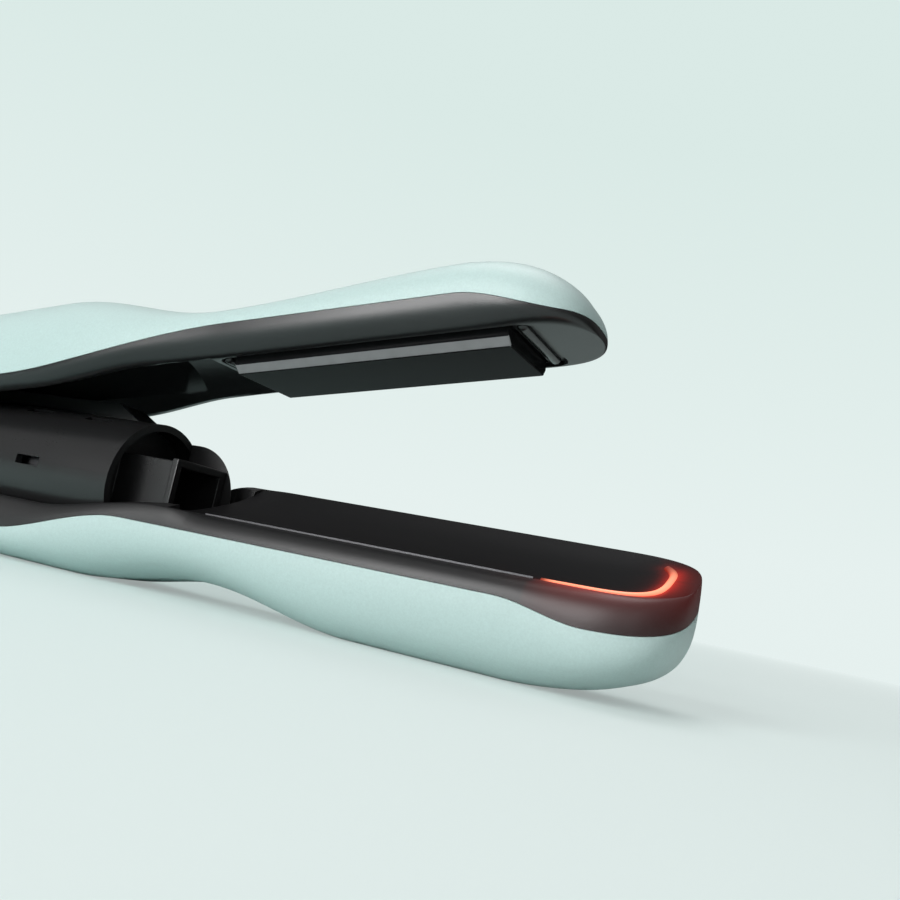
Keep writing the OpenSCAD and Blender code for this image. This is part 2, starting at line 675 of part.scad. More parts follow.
// Least distance between points of a path that are more than skip steps apart
function least_gap(path, skip) = min([for (i = [0:len(path) - 1], j = [i + 1:1:len(path) - 1])
    if (j - i > skip) norm(path[i] - path[j])]);
module hinge_screws() {
    color(steel) lower_arm() for (x = [-7.5, 7.5], y = [-4, 4]) translate([x, y, 0]) {
        translate([0, 0, -deck_z + 2.07]) cylinder(r = 2.4, h = 1.2);
        translate([0, 0, -deck_z + 0.07]) cylinder(r = 1.45, h = 2.1);
    }
}
module upper_screws() {
    top = hollow_top - 2.05;
    color(steel) upper_arm() for (x = upper_screw_x, y = [-4, 4]) translate([x, y, 0]) {
        translate([0, 0, top - 1.22]) cylinder(r = 2.4, h = 1.2);
        translate([0, 0, top - 0.1]) cylinder(r = 1.45, h = 2.1);
    }
}

// Fixed collar and swivelling gland for the cord
module gland_collar() {
    color(dark) lower_arm() along_x(gland_x, -gland_z) ring(collar_r, gland_r + pin_fit, gland_l);
}
module cord_gland() {
    head = 4;
    color(black) lower_arm() difference() {
        union() {
            along_x(gland_x - head, -gland_z) cylinder(r1 = gland_r - 0.5, r2 = gland_r + lip_t, h = head - 0.1);
            along_x(gland_x - 0.2, -gland_z) cylinder(r = gland_r, h = gland_l + 0.4);
            along_x(gland_x + gland_l + 0.1, -gland_z) cylinder(r = gland_r + 1, h = lip_t);
        }
        along_x(gland_x - head - 1, -gland_z) cylinder(r = cord_bore_r, h = head + gland_l + lip_t + 2);
    }
}
// Catch that slides forward under the tail of the upper arm
module lock_slider() {
    color(black) lower_arm() translate([-lower_tail + 5, 0, -deck_z + 0.1]) union() {
        rounded_bar(7, 12, 2.4, 1.5);
        for (x = [-2, 0, 2]) translate([x - 0.4, -4, 2]) cube([0.8, 8, 0.9]);
    }
}

module upper_shell() {
    row = function(x, inset, shift)
        let (s = upper_seam(x + shift)) shell_row(x + shift, upper_half(x), s, s, s + upper_height(x), inset, 1);
    color(mint) upper_arm() difference() {
        trough([for (x = upper_xs) row(x, 0, 0)],
            [for (x = upper_xs) row(x, shell_t, end_shift(x, upper_tail, upper_tail_run, upper_len))]);
        translate([panel_x, 0, panel_under - 1]) rounded_bar(panel_l + 2 * seat, panel_w + 2 * seat, 12, 6);
    }
}

// Height of the upper shell over its seam, closing at the nose and at the rear
function upper_height(x) = (upper_top(x) - upper_seam(x))
    * rounded(x, upper_len, 32, 2) * rounded(-x, upper_tail, 8, 2);
// Section of the upper frame: soft band, flat face, soft band, and the top that fits in the shell
function upper_row(x) =
    let (half = upper_half(x), r = soft_edge(band_r, half), s = upper_seam(x) - seam_gap,
         low = upper_low(x),
         wi = max(0.3, min(upper_half(x - fit_back), upper_half(x + fit_back)) - shell_t - seat),
         room = max(0.1, min(upper_height(x - fit_back), upper_height(x + fit_back)) - shell_t - 2 * seat),
         roof = mix(pocket_top + frame_t, hollow_top + frame_t, smooth((tray_x + 7 - x) / 12)))
    concat(
        [for (k = [0:4]) let (a = 22.5 * k) [x, -half + r * (1 - cos(a)), mix(s, low, sin(a))]],
        [for (k = [4:-1:0]) let (a = 22.5 * k) [x, half - r * (1 - cos(a)), mix(s, low, sin(a))]],
        [for (k = [0:10]) let (a = 18 * k)
            [x, wi * spow(cos(a), 2 / section_n), min(max(s, roof), s + room * pow(sin(a), 2 / section_n))]]);

module upper_frame() {
    hollow_x0 = -upper_tail - 5;
    hollow_x1 = tray_x + 3;
    hinge_room = lug_y + 1.35;
    color(black) upper_arm() difference() {
        loft([for (x = upper_xs) upper_row(x)]);
        // Hollow that closes over the blower
        along_x(hollow_x0, -blower_z) cylinder(r = hollow_r, h = hollow_x1 - hollow_x0);
        translate([hollow_x0, -14.5, -8]) cube([blower_end - hollow_x0, 29, hollow_top + 8]);
        // Room for the hinge
        along_y(-hinge_room) cylinder(r = lug_r + 0.8, h = 2 * hinge_room);
        translate([-lug_r - 2.5, -hinge_room, -20]) cube([2 * lug_r + 5, 2 * hinge_room, 20]);
        // Recess and pocket of the floating plate
        translate([(plate_x + plate_end) / 2 + recess_shift, 0, -5])
            rounded_bar(plate_l + 2 * recess_run, recess_w, frame_lip_z + recess_d + 5, recess_corner);
        translate([plate_x - plate_gap, -plate_w / 2 - plate_gap, -5])
            cube([plate_l + 2 * plate_gap, plate_w + 2 * plate_gap, pocket_top + 5]);
    }
}

// Bevelled plate; its heater and thermostat ride on its back
module hot_plate() {
    w = plate_face_w / 2;
    b = plate_bevel;
    color("#202021") upper_arm() translate([plate_x, 0, 0]) rotate([90, 0, 90]) linear_extrude(plate_l)
        polygon([[-w, 0], [w, 0], [w + b, b], [w + b, plate_t], [-w - b, plate_t], [-w - b, b]]);
}
module plate_heater() {
    color("#cfc9b8") upper_arm() translate([plate_x + 4, -6, plate_t]) cube([plate_l - 8, 12, 1.6]);
}
module thermostat() {
    color(steel) upper_arm() translate([plate_x + plate_l / 2 - 4, -3, plate_t + 1.6]) cube([8, 6, 1.6]);
}
module plate_cushions() {
    z0 = plate_t + 1.6 + float_travel + 0.1;
    color("#8f2f2a") upper_arm() for (x = [0.2, 0.8])
        translate([plate_x + plate_l * x - 5, -5, z0]) cube([10, 10, pocket_top - 0.05 - z0]);
}
// Rounded ridges on the frame before and behind the plate
module plate_guards() {
    r = 1.4;
    y = plate_w / 2 - r;
    off = plate_gap + r + 1;
    color("#111112") upper_arm() for (x = [plate_x - off, plate_end + off])
        translate([x, 0, frame_lip_z + recess_d - 0.05]) intersection() {
            union() {
                along_y(-y) cylinder(r = r, h = 2 * y);
                for (s = [-1, 1]) translate([0, s * y, 0]) sphere(r = r);
            }
            translate([-5, -plate_w, -5]) cube([10, 2 * plate_w, 5]);
        }
}

button_x = function(k) panel_x - panel_l / 2 + 8 + button_pitch * k;
lens_x = panel_x + panel_l / 2 - 8;
module control_panel() {
    color(dark) upper_arm() difference() {
        union() {
            translate([panel_x, 0, panel_under + 1.2]) rounded_bar(panel_l, panel_w, panel_top - panel_under - 1.2, 6);
            translate([panel_x, 0, panel_under]) rounded_bar(panel_l + 2, panel_w + 2, 1.2, 7);
        }
        for (k = [0:3]) translate([button_x(k), 0, panel_under - 1]) cylinder(r = button_r + button_fit, h = 8);
        translate([lens_x, 0, panel_top - 1]) rounded_bar(8.1, 10.1, 4, 2);
    }
}
module display_lens() {
    color("#0c0c0d") upper_arm() translate([lens_x, 0, panel_top - 0.98]) rounded_bar(8, 10, 1, 2);
}
module control_board() {
    color("#20603a") upper_arm() union() {
        translate([panel_x - panel_l / 2 + 1, -8, board_z]) cube([panel_l - 2, 16, board_t]);
        for (k = [0:3]) translate([button_x(k) - 1.5, -1.5, board_z + board_t]) cube([3, 3, 0.4]);
        for (x = [-1, 1], y = [-1, 1]) translate([panel_x + x * (panel_l / 2 - 4), y * 6, board_z - 0.35])
            cylinder(r = 1.5, h = 0.35);
    }
}
module button(k) {
    color(dark) upper_arm() translate([button_x(k), 0, 0]) union() {
        translate([0, 0, panel_under - 0.8]) cylinder(r = button_r, h = panel_top - panel_under + 1.2);
        translate([0, 0, panel_under - 1.3]) cylinder(r = button_r + 0.8, h = 1.2);
    }
}
module power_button() { button(0); }
module minus_button() { button(1); }
module plus_button() { button(2); }
module mode_button() { button(3); }

lower_shell();
lower_frame();
blower_housing();
front_cowl();
lead_duct();
outlet_nozzle();
inner_duct();
heater_frame();
heating_coil();
fan_motor();
motor_mount();
fan_impeller();
slot_lip();
slot_duct();
light_guide();
light_board();
lower_hinge_bracket();
hinge_pin();
hinge_spring();
hinge_screws();
gland_collar();
cord_gland();
lock_slider();
upper_shell();
upper_frame();
upper_hinge_bracket();
upper_screws();
hot_plate();
plate_heater();
thermostat();
plate_cushions();
plate_guards();
control_panel();
display_lens();
control_board();
power_button();
minus_button();
plus_button();
mode_button();
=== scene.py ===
"""Looks of a hot-air hair straightener: mint shells, black frames, a heated plate and a light line."""

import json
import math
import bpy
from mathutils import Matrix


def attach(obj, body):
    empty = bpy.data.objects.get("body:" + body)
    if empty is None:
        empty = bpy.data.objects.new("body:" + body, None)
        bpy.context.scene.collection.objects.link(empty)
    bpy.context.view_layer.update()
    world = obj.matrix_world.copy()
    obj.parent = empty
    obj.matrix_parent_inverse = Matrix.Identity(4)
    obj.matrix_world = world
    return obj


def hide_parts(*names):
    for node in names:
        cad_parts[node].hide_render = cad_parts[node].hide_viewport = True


bl_info = {
    "name": "Hot-air Hair Straightener",
    "version": (1, 0, 0),
    "blender": (4, 5, 0),
    "location": "View3D > Sidebar > Straightener",
    "description": "Shells, frames, blower, plate and light line of a hot-air hair straightener",
    "category": "Add Mesh",
}

import bmesh
import bpy
from bpy.props import FloatProperty, FloatVectorProperty, PointerProperty
from mathutils import Matrix, Vector

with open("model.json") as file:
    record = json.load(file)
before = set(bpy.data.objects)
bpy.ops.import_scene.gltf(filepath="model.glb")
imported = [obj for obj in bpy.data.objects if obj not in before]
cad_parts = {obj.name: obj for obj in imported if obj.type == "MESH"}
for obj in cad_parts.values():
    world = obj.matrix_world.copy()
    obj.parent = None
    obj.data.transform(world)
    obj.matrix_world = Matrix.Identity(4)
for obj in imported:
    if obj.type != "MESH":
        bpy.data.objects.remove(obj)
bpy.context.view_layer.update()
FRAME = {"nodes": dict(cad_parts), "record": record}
MM = 0.001

# Points along and round the arms
STATION_STEP = 2.2
TAIL_STEPS = 14
NOSE_STEPS = 28
BAND_STEPS = 12
SHELL_STEPS = 64
TRAY_STEPS = 30
FACE_STEPS = 20
UNDER_STEPS = 6
ARCH_STEPS = 20
CORNER_STEPS = 6
LINE_STEPS = 16
LINE_SIDES = 14
BEVEL_STEPS = 3

# Half the gap between the two stations of a step, and the last stations' distances from an arm's ends
STEP_GAP = 0.02
END_GAPS = (0.0015, 0.02)

# Angles in degrees past which an edge is sharp: on CAD forms, on moulded skins and on the light line
CAD_SHARP = 35
SKIN_SHARP = 40
LINE_SHARP = 60

# Points closer than this, in metres, are one point, and faces within this angle, in degrees, are one face
MERGE = 1e-7
CAD_MERGE = 2e-6
CAD_FLAT = 0.5

# Red light painted on the frame as emission: spread in millimetres and strength, outside the line, inside
# it and beside it
LIGHT_OUTSIDE = (3.2, 0.55)
LIGHT_INSIDE = (1.8, 0.35)
LIGHT_BESIDE = (2.0, 0.8)
# Metres behind the line's start past which no light falls
LIGHT_BEHIND = 0.02


def length(text, millimetres, low=0.0, high=400.0):
    """A length property in metres, given in millimetres."""
    return FloatProperty(
        name=text,
        description=text + ", as a length",
        default=millimetres * MM,
        min=low * MM,
        max=high * MM,
        subtype="DISTANCE",
        unit="LENGTH",
    )


def colour(text, red, green, blue):
    """A linear colour property."""
    return FloatVectorProperty(
        name=text,
        description=text + ", linear",
        subtype="COLOR",
        size=3,
        min=0,
        max=1,
        default=(red, green, blue),
    )


class StraightenerSizes(bpy.types.PropertyGroup):
    """Sizes of the arms, the blower, the slot and the light line."""

    jaw_w: length("Width of the jaws", 40)
    handle_w: length("Width of the handle", 45)
    lower_len: length("Length of the lower arm in front of the hinge", 270)
    upper_len: length("Length of the upper arm in front of the hinge", 244)
    lower_tail: length("Reach of the lower arm behind the hinge", 22)
    upper_tail: length("Reach of the upper arm behind the hinge", 12)
    shell_t: length("Thickness of the shells", 2)
    seam_gap: length("Seam between shell and frame", 0.15)
    nose_run: length("Length over which a nose rounds off", 21)
    neck_top: length("Height of the upper arm at the neck", 18.5)
    nose_swell: length("Extra height at the nose", 4.5)
    handle_rise: length("Extra height at the handle", 10.5)
    neck_x: length("Place of the neck", 146)
    upper_seam_z: length("Seam of the upper arm at the jaw", 11.5)
    upper_seam_drop: length("Drop of that seam at the handle", 7.5)
    nose_dip: length("Drop of that seam at the nose", 5.5)
    frame_lip_z: length("Face of the upper frame", 3.5)
    skirt_drop: length("Reach of the upper handle's side walls", 3.5)
    band_r: length("Soft edge of the upper frame", 4)
    lower_depth: length("Depth of the lower arm", 34)
    waist_rise: length("Draw-in of the waist", 5.5)
    seam_near: length("Near seam of the lower arm", 16.5)
    seam_far: length("Far seam of the lower arm", 7)
    handle_seam: length("Seam of the lower handle", 26)
    rim_near: length("Near rim of the tray", 11.5)
    rim_far: length("Far rim of the tray", 0.5)
    handle_rim: length("Rim of the lower handle", 17)
    deck_z: length("Deck under the hinge", 9.5)
    tray_sag: length("Depth of the tray", 2.5)
    frame_t: length("Thickness of the frame's floor", 2)
    rim_r: length("Soft edge of the lower rim", 4.5)
    blower_r: length("Radius of the blower housing", 18.5)
    blower_x: length("Rear end of the blower housing", 14)
    blower_len: length("Length of the blower housing", 104)
    blower_z: length("Axis of the blower under the closing plane", 7)
    nozzle_out: length("Reach of the nozzle out of the housing", 15)
    slot_end: length("Front end of the air slot, from the nose", 32)
    slot_w: length("Width of the air slot", 1.2)
    slot_inset: length("Distance of the air slot from the near side", 8)
    guide_r: length("Radius of the light line", 1)
    guide_inset: length("Distance of the light line from the nose", 6)
    plate_x: length("Rear end of the plate", 150)
    plate_l: length("Length of the plate", 76)
    plate_w: length("Width of the plate", 28)
    recess_d: length("Depth of the recess round the plate", 1)
    rest_x: length("Rest flat in front of the hinge", 62)
    open_angle: FloatProperty(
        name="Opening",
        description="Angle between the arms at rest",
        default=math.radians(10),
        subtype="ANGLE",
    )


class StraightenerColours(bpy.types.PropertyGroup):
    """Colours of the shells, frames, plate, light and backdrop."""

    mint: colour("Shells", 0.4275, 0.5475, 0.532)
    black: colour("Frames", 0.010, 0.010, 0.0105)
    dark: colour("Blower housing", 0.011, 0.011, 0.0115)
    plate: colour("Heated plate", 0.008, 0.008, 0.0085)
    # Lighter grey for the plate's bevel: a painted highlight
    bevel: colour("Bevel of the plate", 0.22, 0.22, 0.225)
    glow_core: colour("Middle of the light line", 1.0, 0.34, 0.19)
    # The edge colour is also the red light painted on the lower frame
    glow_edge: colour("Edge of the light line", 0.60, 0.025, 0.014)
    floor: colour("Floor", 0.71, 0.81, 0.79)
    floor_left: colour("Floor at the left", 0.58, 0.76, 0.735)
    backdrop: colour("Backdrop", 0.70, 0.82, 0.79)
    horizon: colour("Backdrop beside the floor", 0.79, 0.875, 0.86)


class Form:
    """The arms' shape in millimetres, from the hinge, with the arms closed."""

    # Powers that round the arms' sections, and the noses seen from above
    section_n = 2.6
    plan_n = 2.8
    # A section rises a little past its top, which leaves the top flat
    section_top = 1.03
    # Least depth or half width of a row
    least = 0.1

    # Where the handle narrows to the jaw, and where the lower seam bends up from it
    blend_x0 = 95.0
    blend_x1 = 150.0
    knee_x0 = 82.0
    knee_x1 = 128.0

    # Tails: how far they round off, and how the seam, the bottom and the top run out in them
    lower_tail_run = 16.0
    upper_tail_run = 10.0
    tail_x = 10.0
    tail_seam = 16.0
    tail_seam_run = 20.0
    tail_rise = 8.0
    tail_rise_x = 18.0
    tail_rise_run = 40.0
    tail_drop = 5.0
    tail_drop_run = 22.0

    # Lower arm: waist, drop of the near seam at the nose, and how the bottom closes at both ends
    waist_x = 150.0
    waist_reach = 45.0
    seam_tip_x = 232.0
    seam_tip_run = 20.0
    seam_tip_drop = 3.0
    lower_nose_close = 38.0
    lower_tail_close = 14.0

    # Upper arm: how its seam, top and side walls run along it, and how its top closes at both ends
    dip_start = 30.0
    dip_run = 26.0
    seam_drop_run = 75.0
    swell_run = 70.0
    rise_run = 60.0
    upper_nose_close = 32.0
    upper_tail_close = 8.0
    skirt_x = 125.0
    skirt_run = 40.0
    skirt_tail_x = 20.0
    skirt_tail_run = 15.0
    skirt_tail_rise = 3.0

    # Rim of the lower frame
    rim_lead = 3.0
    rim_blend = 12.0
    rim_rear_x = 2.0
    rim_rear_run = 8.0
    edge_share = 0.45
    least_edge = 0.8
    least_half = 0.4
    # The underside keeps this far, and the floor's thickness, under all of the upper side within reach
    floor_reach = 2.0
    floor_drop = 2.0

    # Cradle and hollow round the blower, and the deck behind it
    cradle_gap = 0.3
    cradle_wall = 0.15
    wrap_gap = 0.8
    wrap_lead = 3.0
    hollow_half = 14.5
    hollow_top = 18.0
    deck_run = 2.0
    nozzle_room = 8.0
    throat_out = 8.0
    throat_draw = 4.0

    # Tray and air slot
    tray_end = 5.0
    tray_close = 26.0
    slot_room = 7.0
    slot_depth = 3.0

    # Pocket of the plate and the recess round it
    plate_gap = 0.5
    pocket_top = 11.2
    recess_run = 5.5
    recess_shift = 0.75
    recess_corner = 4.0
    recess_wall = 0.2

    # Room round the hinge, roof of the upper frame, and its seat in the shell
    hinge_r = 7.3
    hinge_half = 19.35
    roof_t = 2.0
    roof_lead = 7.0
    roof_run = 12.0
    least_roof_half = 0.3
    seat = 0.15
    seat_run = 0.5

    # Light line: its start before the slot, its bend and how far it turns round the nose
    line_lead = 1.5
    line_draw = 3.0
    line_shift = 0.3
    line_turn = math.radians(128)
    line_sunk = 0.35
    # Middle of what the line runs round, from the nose
    line_middle = 30.0

    def __init__(self, sizes):
        for name in StraightenerSizes.__annotations__:
            setattr(self, name, getattr(sizes, name) / MM)
        self.open_angle = sizes.open_angle
        self.deck_x = self.blower_x - self.deck_run
        self.blower_end = self.blower_x + self.blower_len
        self.cradle_half = self.blower_r + self.cradle_gap + self.cradle_wall
        self.tray_x = self.blower_end + self.nozzle_out + self.nozzle_room
        self.wrap_front = self.tray_x + self.wrap_lead
        self.slot_x = self.tray_x + self.slot_room
        self.slot_front = self.lower_len - self.slot_end
        self.slot_y = -(self.jaw_w / 2 - self.slot_inset)
        self.pocket_half = self.plate_w / 2 + self.plate_gap
        self.pocket_rear = self.plate_x - self.plate_gap
        self.pocket_front = self.plate_x + self.plate_l + self.plate_gap
        self.recess_middle = self.plate_x + self.plate_l / 2 + self.recess_shift
        self.recess_half_run = self.plate_l / 2 + self.recess_run

    def half_width(self, x):
        """Half the width of the arms between their noses and tails."""
        spread = smooth((self.blend_x1 - x) / (self.blend_x1 - self.blend_x0))
        return self.jaw_w / 2 + (self.handle_w - self.jaw_w) / 2 * spread

    def nose(self, x, tip):
        """Share of the width that is left as a nose rounds off."""
        return rounded(x, tip, self.nose_run, self.plan_n)

    def lower_half(self, x):
        tail = rounded(-x, self.lower_tail, self.lower_tail_run, self.plan_n)
        return self.half_width(x) * self.nose(x, self.lower_len) * tail

    def upper_half(self, x):
        tail = rounded(-x, self.upper_tail, self.upper_tail_run, self.plan_n)
        return self.half_width(x) * self.nose(x, self.upper_len) * tail

    def lower_share(self, x, side):
        """Place of the lower arm's edge across its full width: near 0, far 1, half way at the tip."""
        return (side * self.nose(x, self.lower_len) + 1) / 2

    def lower_seam(self, x, side):
        share = self.lower_share(x, side)
        tip = self.seam_tip_drop * smooth((x - self.seam_tip_x) / self.seam_tip_run) * (1 - share)
        jaw = mix(self.seam_near, self.seam_far, share) + tip
        knee = smooth((self.knee_x1 - x) / (self.knee_x1 - self.knee_x0))
        tail = smooth((self.tail_x - x) / self.tail_seam_run)
        return -mix(mix(jaw, self.handle_seam, knee), self.tail_seam, tail)

    def lower_rim(self, x, side):
        jaw = mix(self.rim_near, self.rim_far, self.lower_share(x, side))
        front = self.tray_x - self.rim_lead
        drop = smooth((front - x) / (front - self.blend_x0))
        deck = smooth((self.deck_x - x) / self.deck_run)
        return -mix(mix(jaw, self.handle_rim, drop), self.deck_z, deck)

    def lower_bottom(self, x):
        waist = self.waist_rise * bump((x - self.waist_x) / self.waist_reach)
        tail = self.tail_rise * smooth((self.tail_rise_x - x) / self.tail_rise_run)
        return -self.lower_depth + waist + tail

    def lower_reach(self, x, seam):
        """Bottom of the lower shell, which closes up to the seam at both ends."""
        nose = rounded(x, self.lower_len, self.lower_nose_close, 2)
        tail = rounded(-x, self.lower_tail, self.lower_tail_close, 2)
        return mix(seam, self.lower_bottom(x), nose * tail)

    def upper_seam(self, x):
        handle = self.upper_seam_drop * smooth((self.blend_x1 - x) / self.seam_drop_run)
        nose = self.nose_dip * smooth((x - self.upper_len + self.dip_start) / self.dip_run)
        return self.upper_seam_z - handle - nose

    def upper_top(self, x):
        nose = self.nose_swell * smooth((x - self.neck_x) / self.swell_run)
        handle = self.handle_rise * smooth((self.neck_x - x) / self.rise_run)
        tail = self.tail_drop * smooth((self.tail_x - x) / self.tail_drop_run)
        return self.neck_top + (nose + handle) - tail

    def upper_height(self, x):
        """Height of the upper shell over its seam, which closes down at both ends."""
        nose = rounded(x, self.upper_len, self.upper_nose_close, 2)
        tail = rounded(-x, self.upper_tail, self.upper_tail_close, 2)
        return (self.upper_top(x) - self.upper_seam(x)) * (nose * tail)

    def upper_low(self, x):
        """Face of the upper frame, with the side walls of the handle."""
        skirt = self.skirt_drop * smooth((self.skirt_x - x) / self.skirt_run)
        tail = self.skirt_tail_rise * smooth((self.skirt_tail_x - x) / self.skirt_tail_run)
        return self.frame_lip_z - skirt + tail

    def rim_edge(self, x):
        """Width of the lower rim's soft edge, which narrows beside the blower."""
        half = self.lower_half(x)
        front = smooth((self.tray_x + self.rim_blend - x) / self.rim_blend)
        rear = smooth((x - self.rim_rear_x) / self.rim_rear_run)
        wide = min(self.rim_r, half * self.edge_share)
        narrow = min(self.rim_r, max(self.least_edge, half - self.cradle_half))
        return mix(wide, narrow, front * rear)

    def inner_half(self, x):
        return max(self.least_half, self.lower_half(x) - self.rim_edge(x))

    def rim_line(self, x, y):
        """Height of the straight line from the near rim to the far one."""
        t = max(-1, min(1, y / self.inner_half(x)))
        return mix(self.lower_rim(x, -1), self.lower_rim(x, 1), (t + 1) / 2)

    def tray_floor(self, x, y):
        t = min(1, abs(y) / self.inner_half(x))
        close = rounded(x, self.lower_len - self.tray_end, self.tray_close, 2)
        return self.rim_line(x, y) - self.tray_sag * close * (1 - t**3)

    def cradle(self, x, y):
        """Bed of the blower, which draws in at its throat."""
        throat = self.blower_end + self.throat_out
        draw = self.throat_draw * smooth((x - throat) / (self.tray_x - throat))
        r = self.blower_r + self.cradle_gap - draw
        rim = self.rim_line(x, y)
        return rim if abs(y) >= r else min(rim, -self.blower_z - math.sqrt(r * r - y * y))

    def lower_inside(self, x, y):
        """Upper side of the lower frame: deck, cradle or tray."""
        if x < self.deck_x:
            return self.rim_line(x, y)
        return self.cradle(x, y) if x < self.tray_x else self.tray_floor(x, y)

    def under_face(self, x, y):
        """Underside of the upper frame: flat face, hollow for the blower, pocket and recess."""
        low = self.upper_low(x)
        r = self.blower_r + self.wrap_gap
        if abs(y) < self.hollow_half and x < self.blower_end:
            return self.hollow_top
        if abs(y) < r and x < self.wrap_front:
            return max(low, -self.blower_z + math.sqrt(r * r - y * y))
        if self.pocket_rear < x < self.pocket_front and abs(y) < self.pocket_half:
            return self.pocket_top
        return low + self.recess_d if abs(y) < self.recess_half(x) else low

    def upper_inside(self, x, y):
        """Underside of the upper frame, with the room round the hinge."""
        face = self.under_face(x, y)
        if abs(x) < self.hinge_r and abs(y) < self.hinge_half:
            return max(face, math.sqrt(self.hinge_r**2 - x * x))
        return face

    def recess_half(self, x):
        """Half the width of the recess round the plate, whose corners are rounded."""
        reach = abs(x - self.recess_middle) - self.recess_half_run
        if reach >= 0:
            return 0.0
        bite = max(0.0, reach + self.recess_corner)
        straight = self.jaw_w / 2 - self.band_r - self.recess_wall - self.recess_corner
        return straight + math.sqrt(self.recess_corner**2 - bite**2)

    def upper_roof(self, x):
        """Top of the upper frame over its pocket and its hollow."""
        rear = smooth((self.tray_x + self.roof_lead - x) / self.roof_run)
        return mix(self.pocket_top + self.roof_t, self.hollow_top + self.roof_t, rear)

    def within_shell(self, measure, x):
        """The lesser of a measure on both sides of a place, less the shell's wall."""
        back = self.shell_t + self.seat_run
        return min(measure(x - back), measure(x + back)) - self.shell_t

    def lower_place(self, point):
        return Vector((point[0] - self.rest_x, point[1], point[2] + self.lower_depth)) * MM

    def upper_place(self, point):
        return self.lower_place(Matrix.Rotation(-self.open_angle, 3, "Y") @ Vector(point))

    def nose_line(self, rise, steps):
        """Points of the light line, from the front end of the slot round the nose."""
        tip = self.lower_len - self.guide_inset
        wide = self.jaw_w / 2 - self.guide_inset
        start = self.slot_front + self.line_lead
        run = min(self.nose_run - self.line_draw, tip - start - self.line_draw)
        points = []
        for k in range(steps):
            t = k / steps
            y = mix(self.slot_y + self.line_shift, -wide, smooth(t))
            points.append((mix(start, tip - run, t), y))
        for k in range(2 * steps + 1):
            a = self.line_turn * k / (2 * steps)
            along = run * power(math.sin(a), 2 / self.plan_n)
            points.append((tip - run + along, -wide * power(math.cos(a), 2 / self.plan_n)))
        return [(x, y, self.tray_floor(x, y) + rise) for x, y in points]


def smooth(t):
    """Soft step from 0 to 1."""
    c = min(1.0, max(0.0, t))
    return c * c * (3 - 2 * c)


def bump(t):
    """Soft hill over -1 to 1."""
    return 0.0 if abs(t) >= 1 else math.cos(math.pi / 2 * t) ** 2


def rounded(x, tip, run, n):
    """Share that is left where an end rounds off over a run."""
    if x <= tip - run:
        return 1.0
    return max(0.0, 1 - min(1.0, (x - tip + run) / run) ** n) ** (1 / n)


def power(value, exponent):
    """Power that keeps the sign."""
    return math.copysign(abs(value) ** exponent, value)


def mix(a, b, t):
    """Value between two, by a share."""
    return a + (b - a) * t


def stations(tail, tip, tail_run, tip_run, extra=()):
    """Places along an arm, close together where its ends round off and on both sides of a step."""
    start = -tail + tail_run
    end = tip - tip_run
    count = round((end - start) / STATION_STEP)
    tail_turns = [math.radians(90 * k / TAIL_STEPS) for k in range(1, TAIL_STEPS)]
    nose_turns = [math.radians(90 * k / NOSE_STEPS) for k in range(1, NOSE_STEPS)]
    places = [-tail + tail_run * (1 - math.cos(a)) for a in tail_turns]
    places += [mix(start, end, k / count) for k in range(count + 1)]
    places += [end + tip_run * math.sin(a) for a in nose_turns]
    places += [x + d for x in extra for d in (-STEP_GAP, STEP_GAP)]
    places += [place for d in END_GAPS for place in (d - tail, tip - d)]
    return sorted(places)


class Wire:
    """A value in a graph that takes plain arithmetic."""

    def __init__(self, graph, socket):
        self.graph = graph
        self.socket = socket

    def maths(self, operation, *values):
        return self.graph.add("ShaderNodeMath", {"operation": operation}, values)

    def __add__(self, other):
        return self.maths("ADD", self, other)

    def __radd__(self, other):
        return self.maths("ADD", other, self)

    def __mul__(self, other):
        return self.maths("MULTIPLY", self, other)


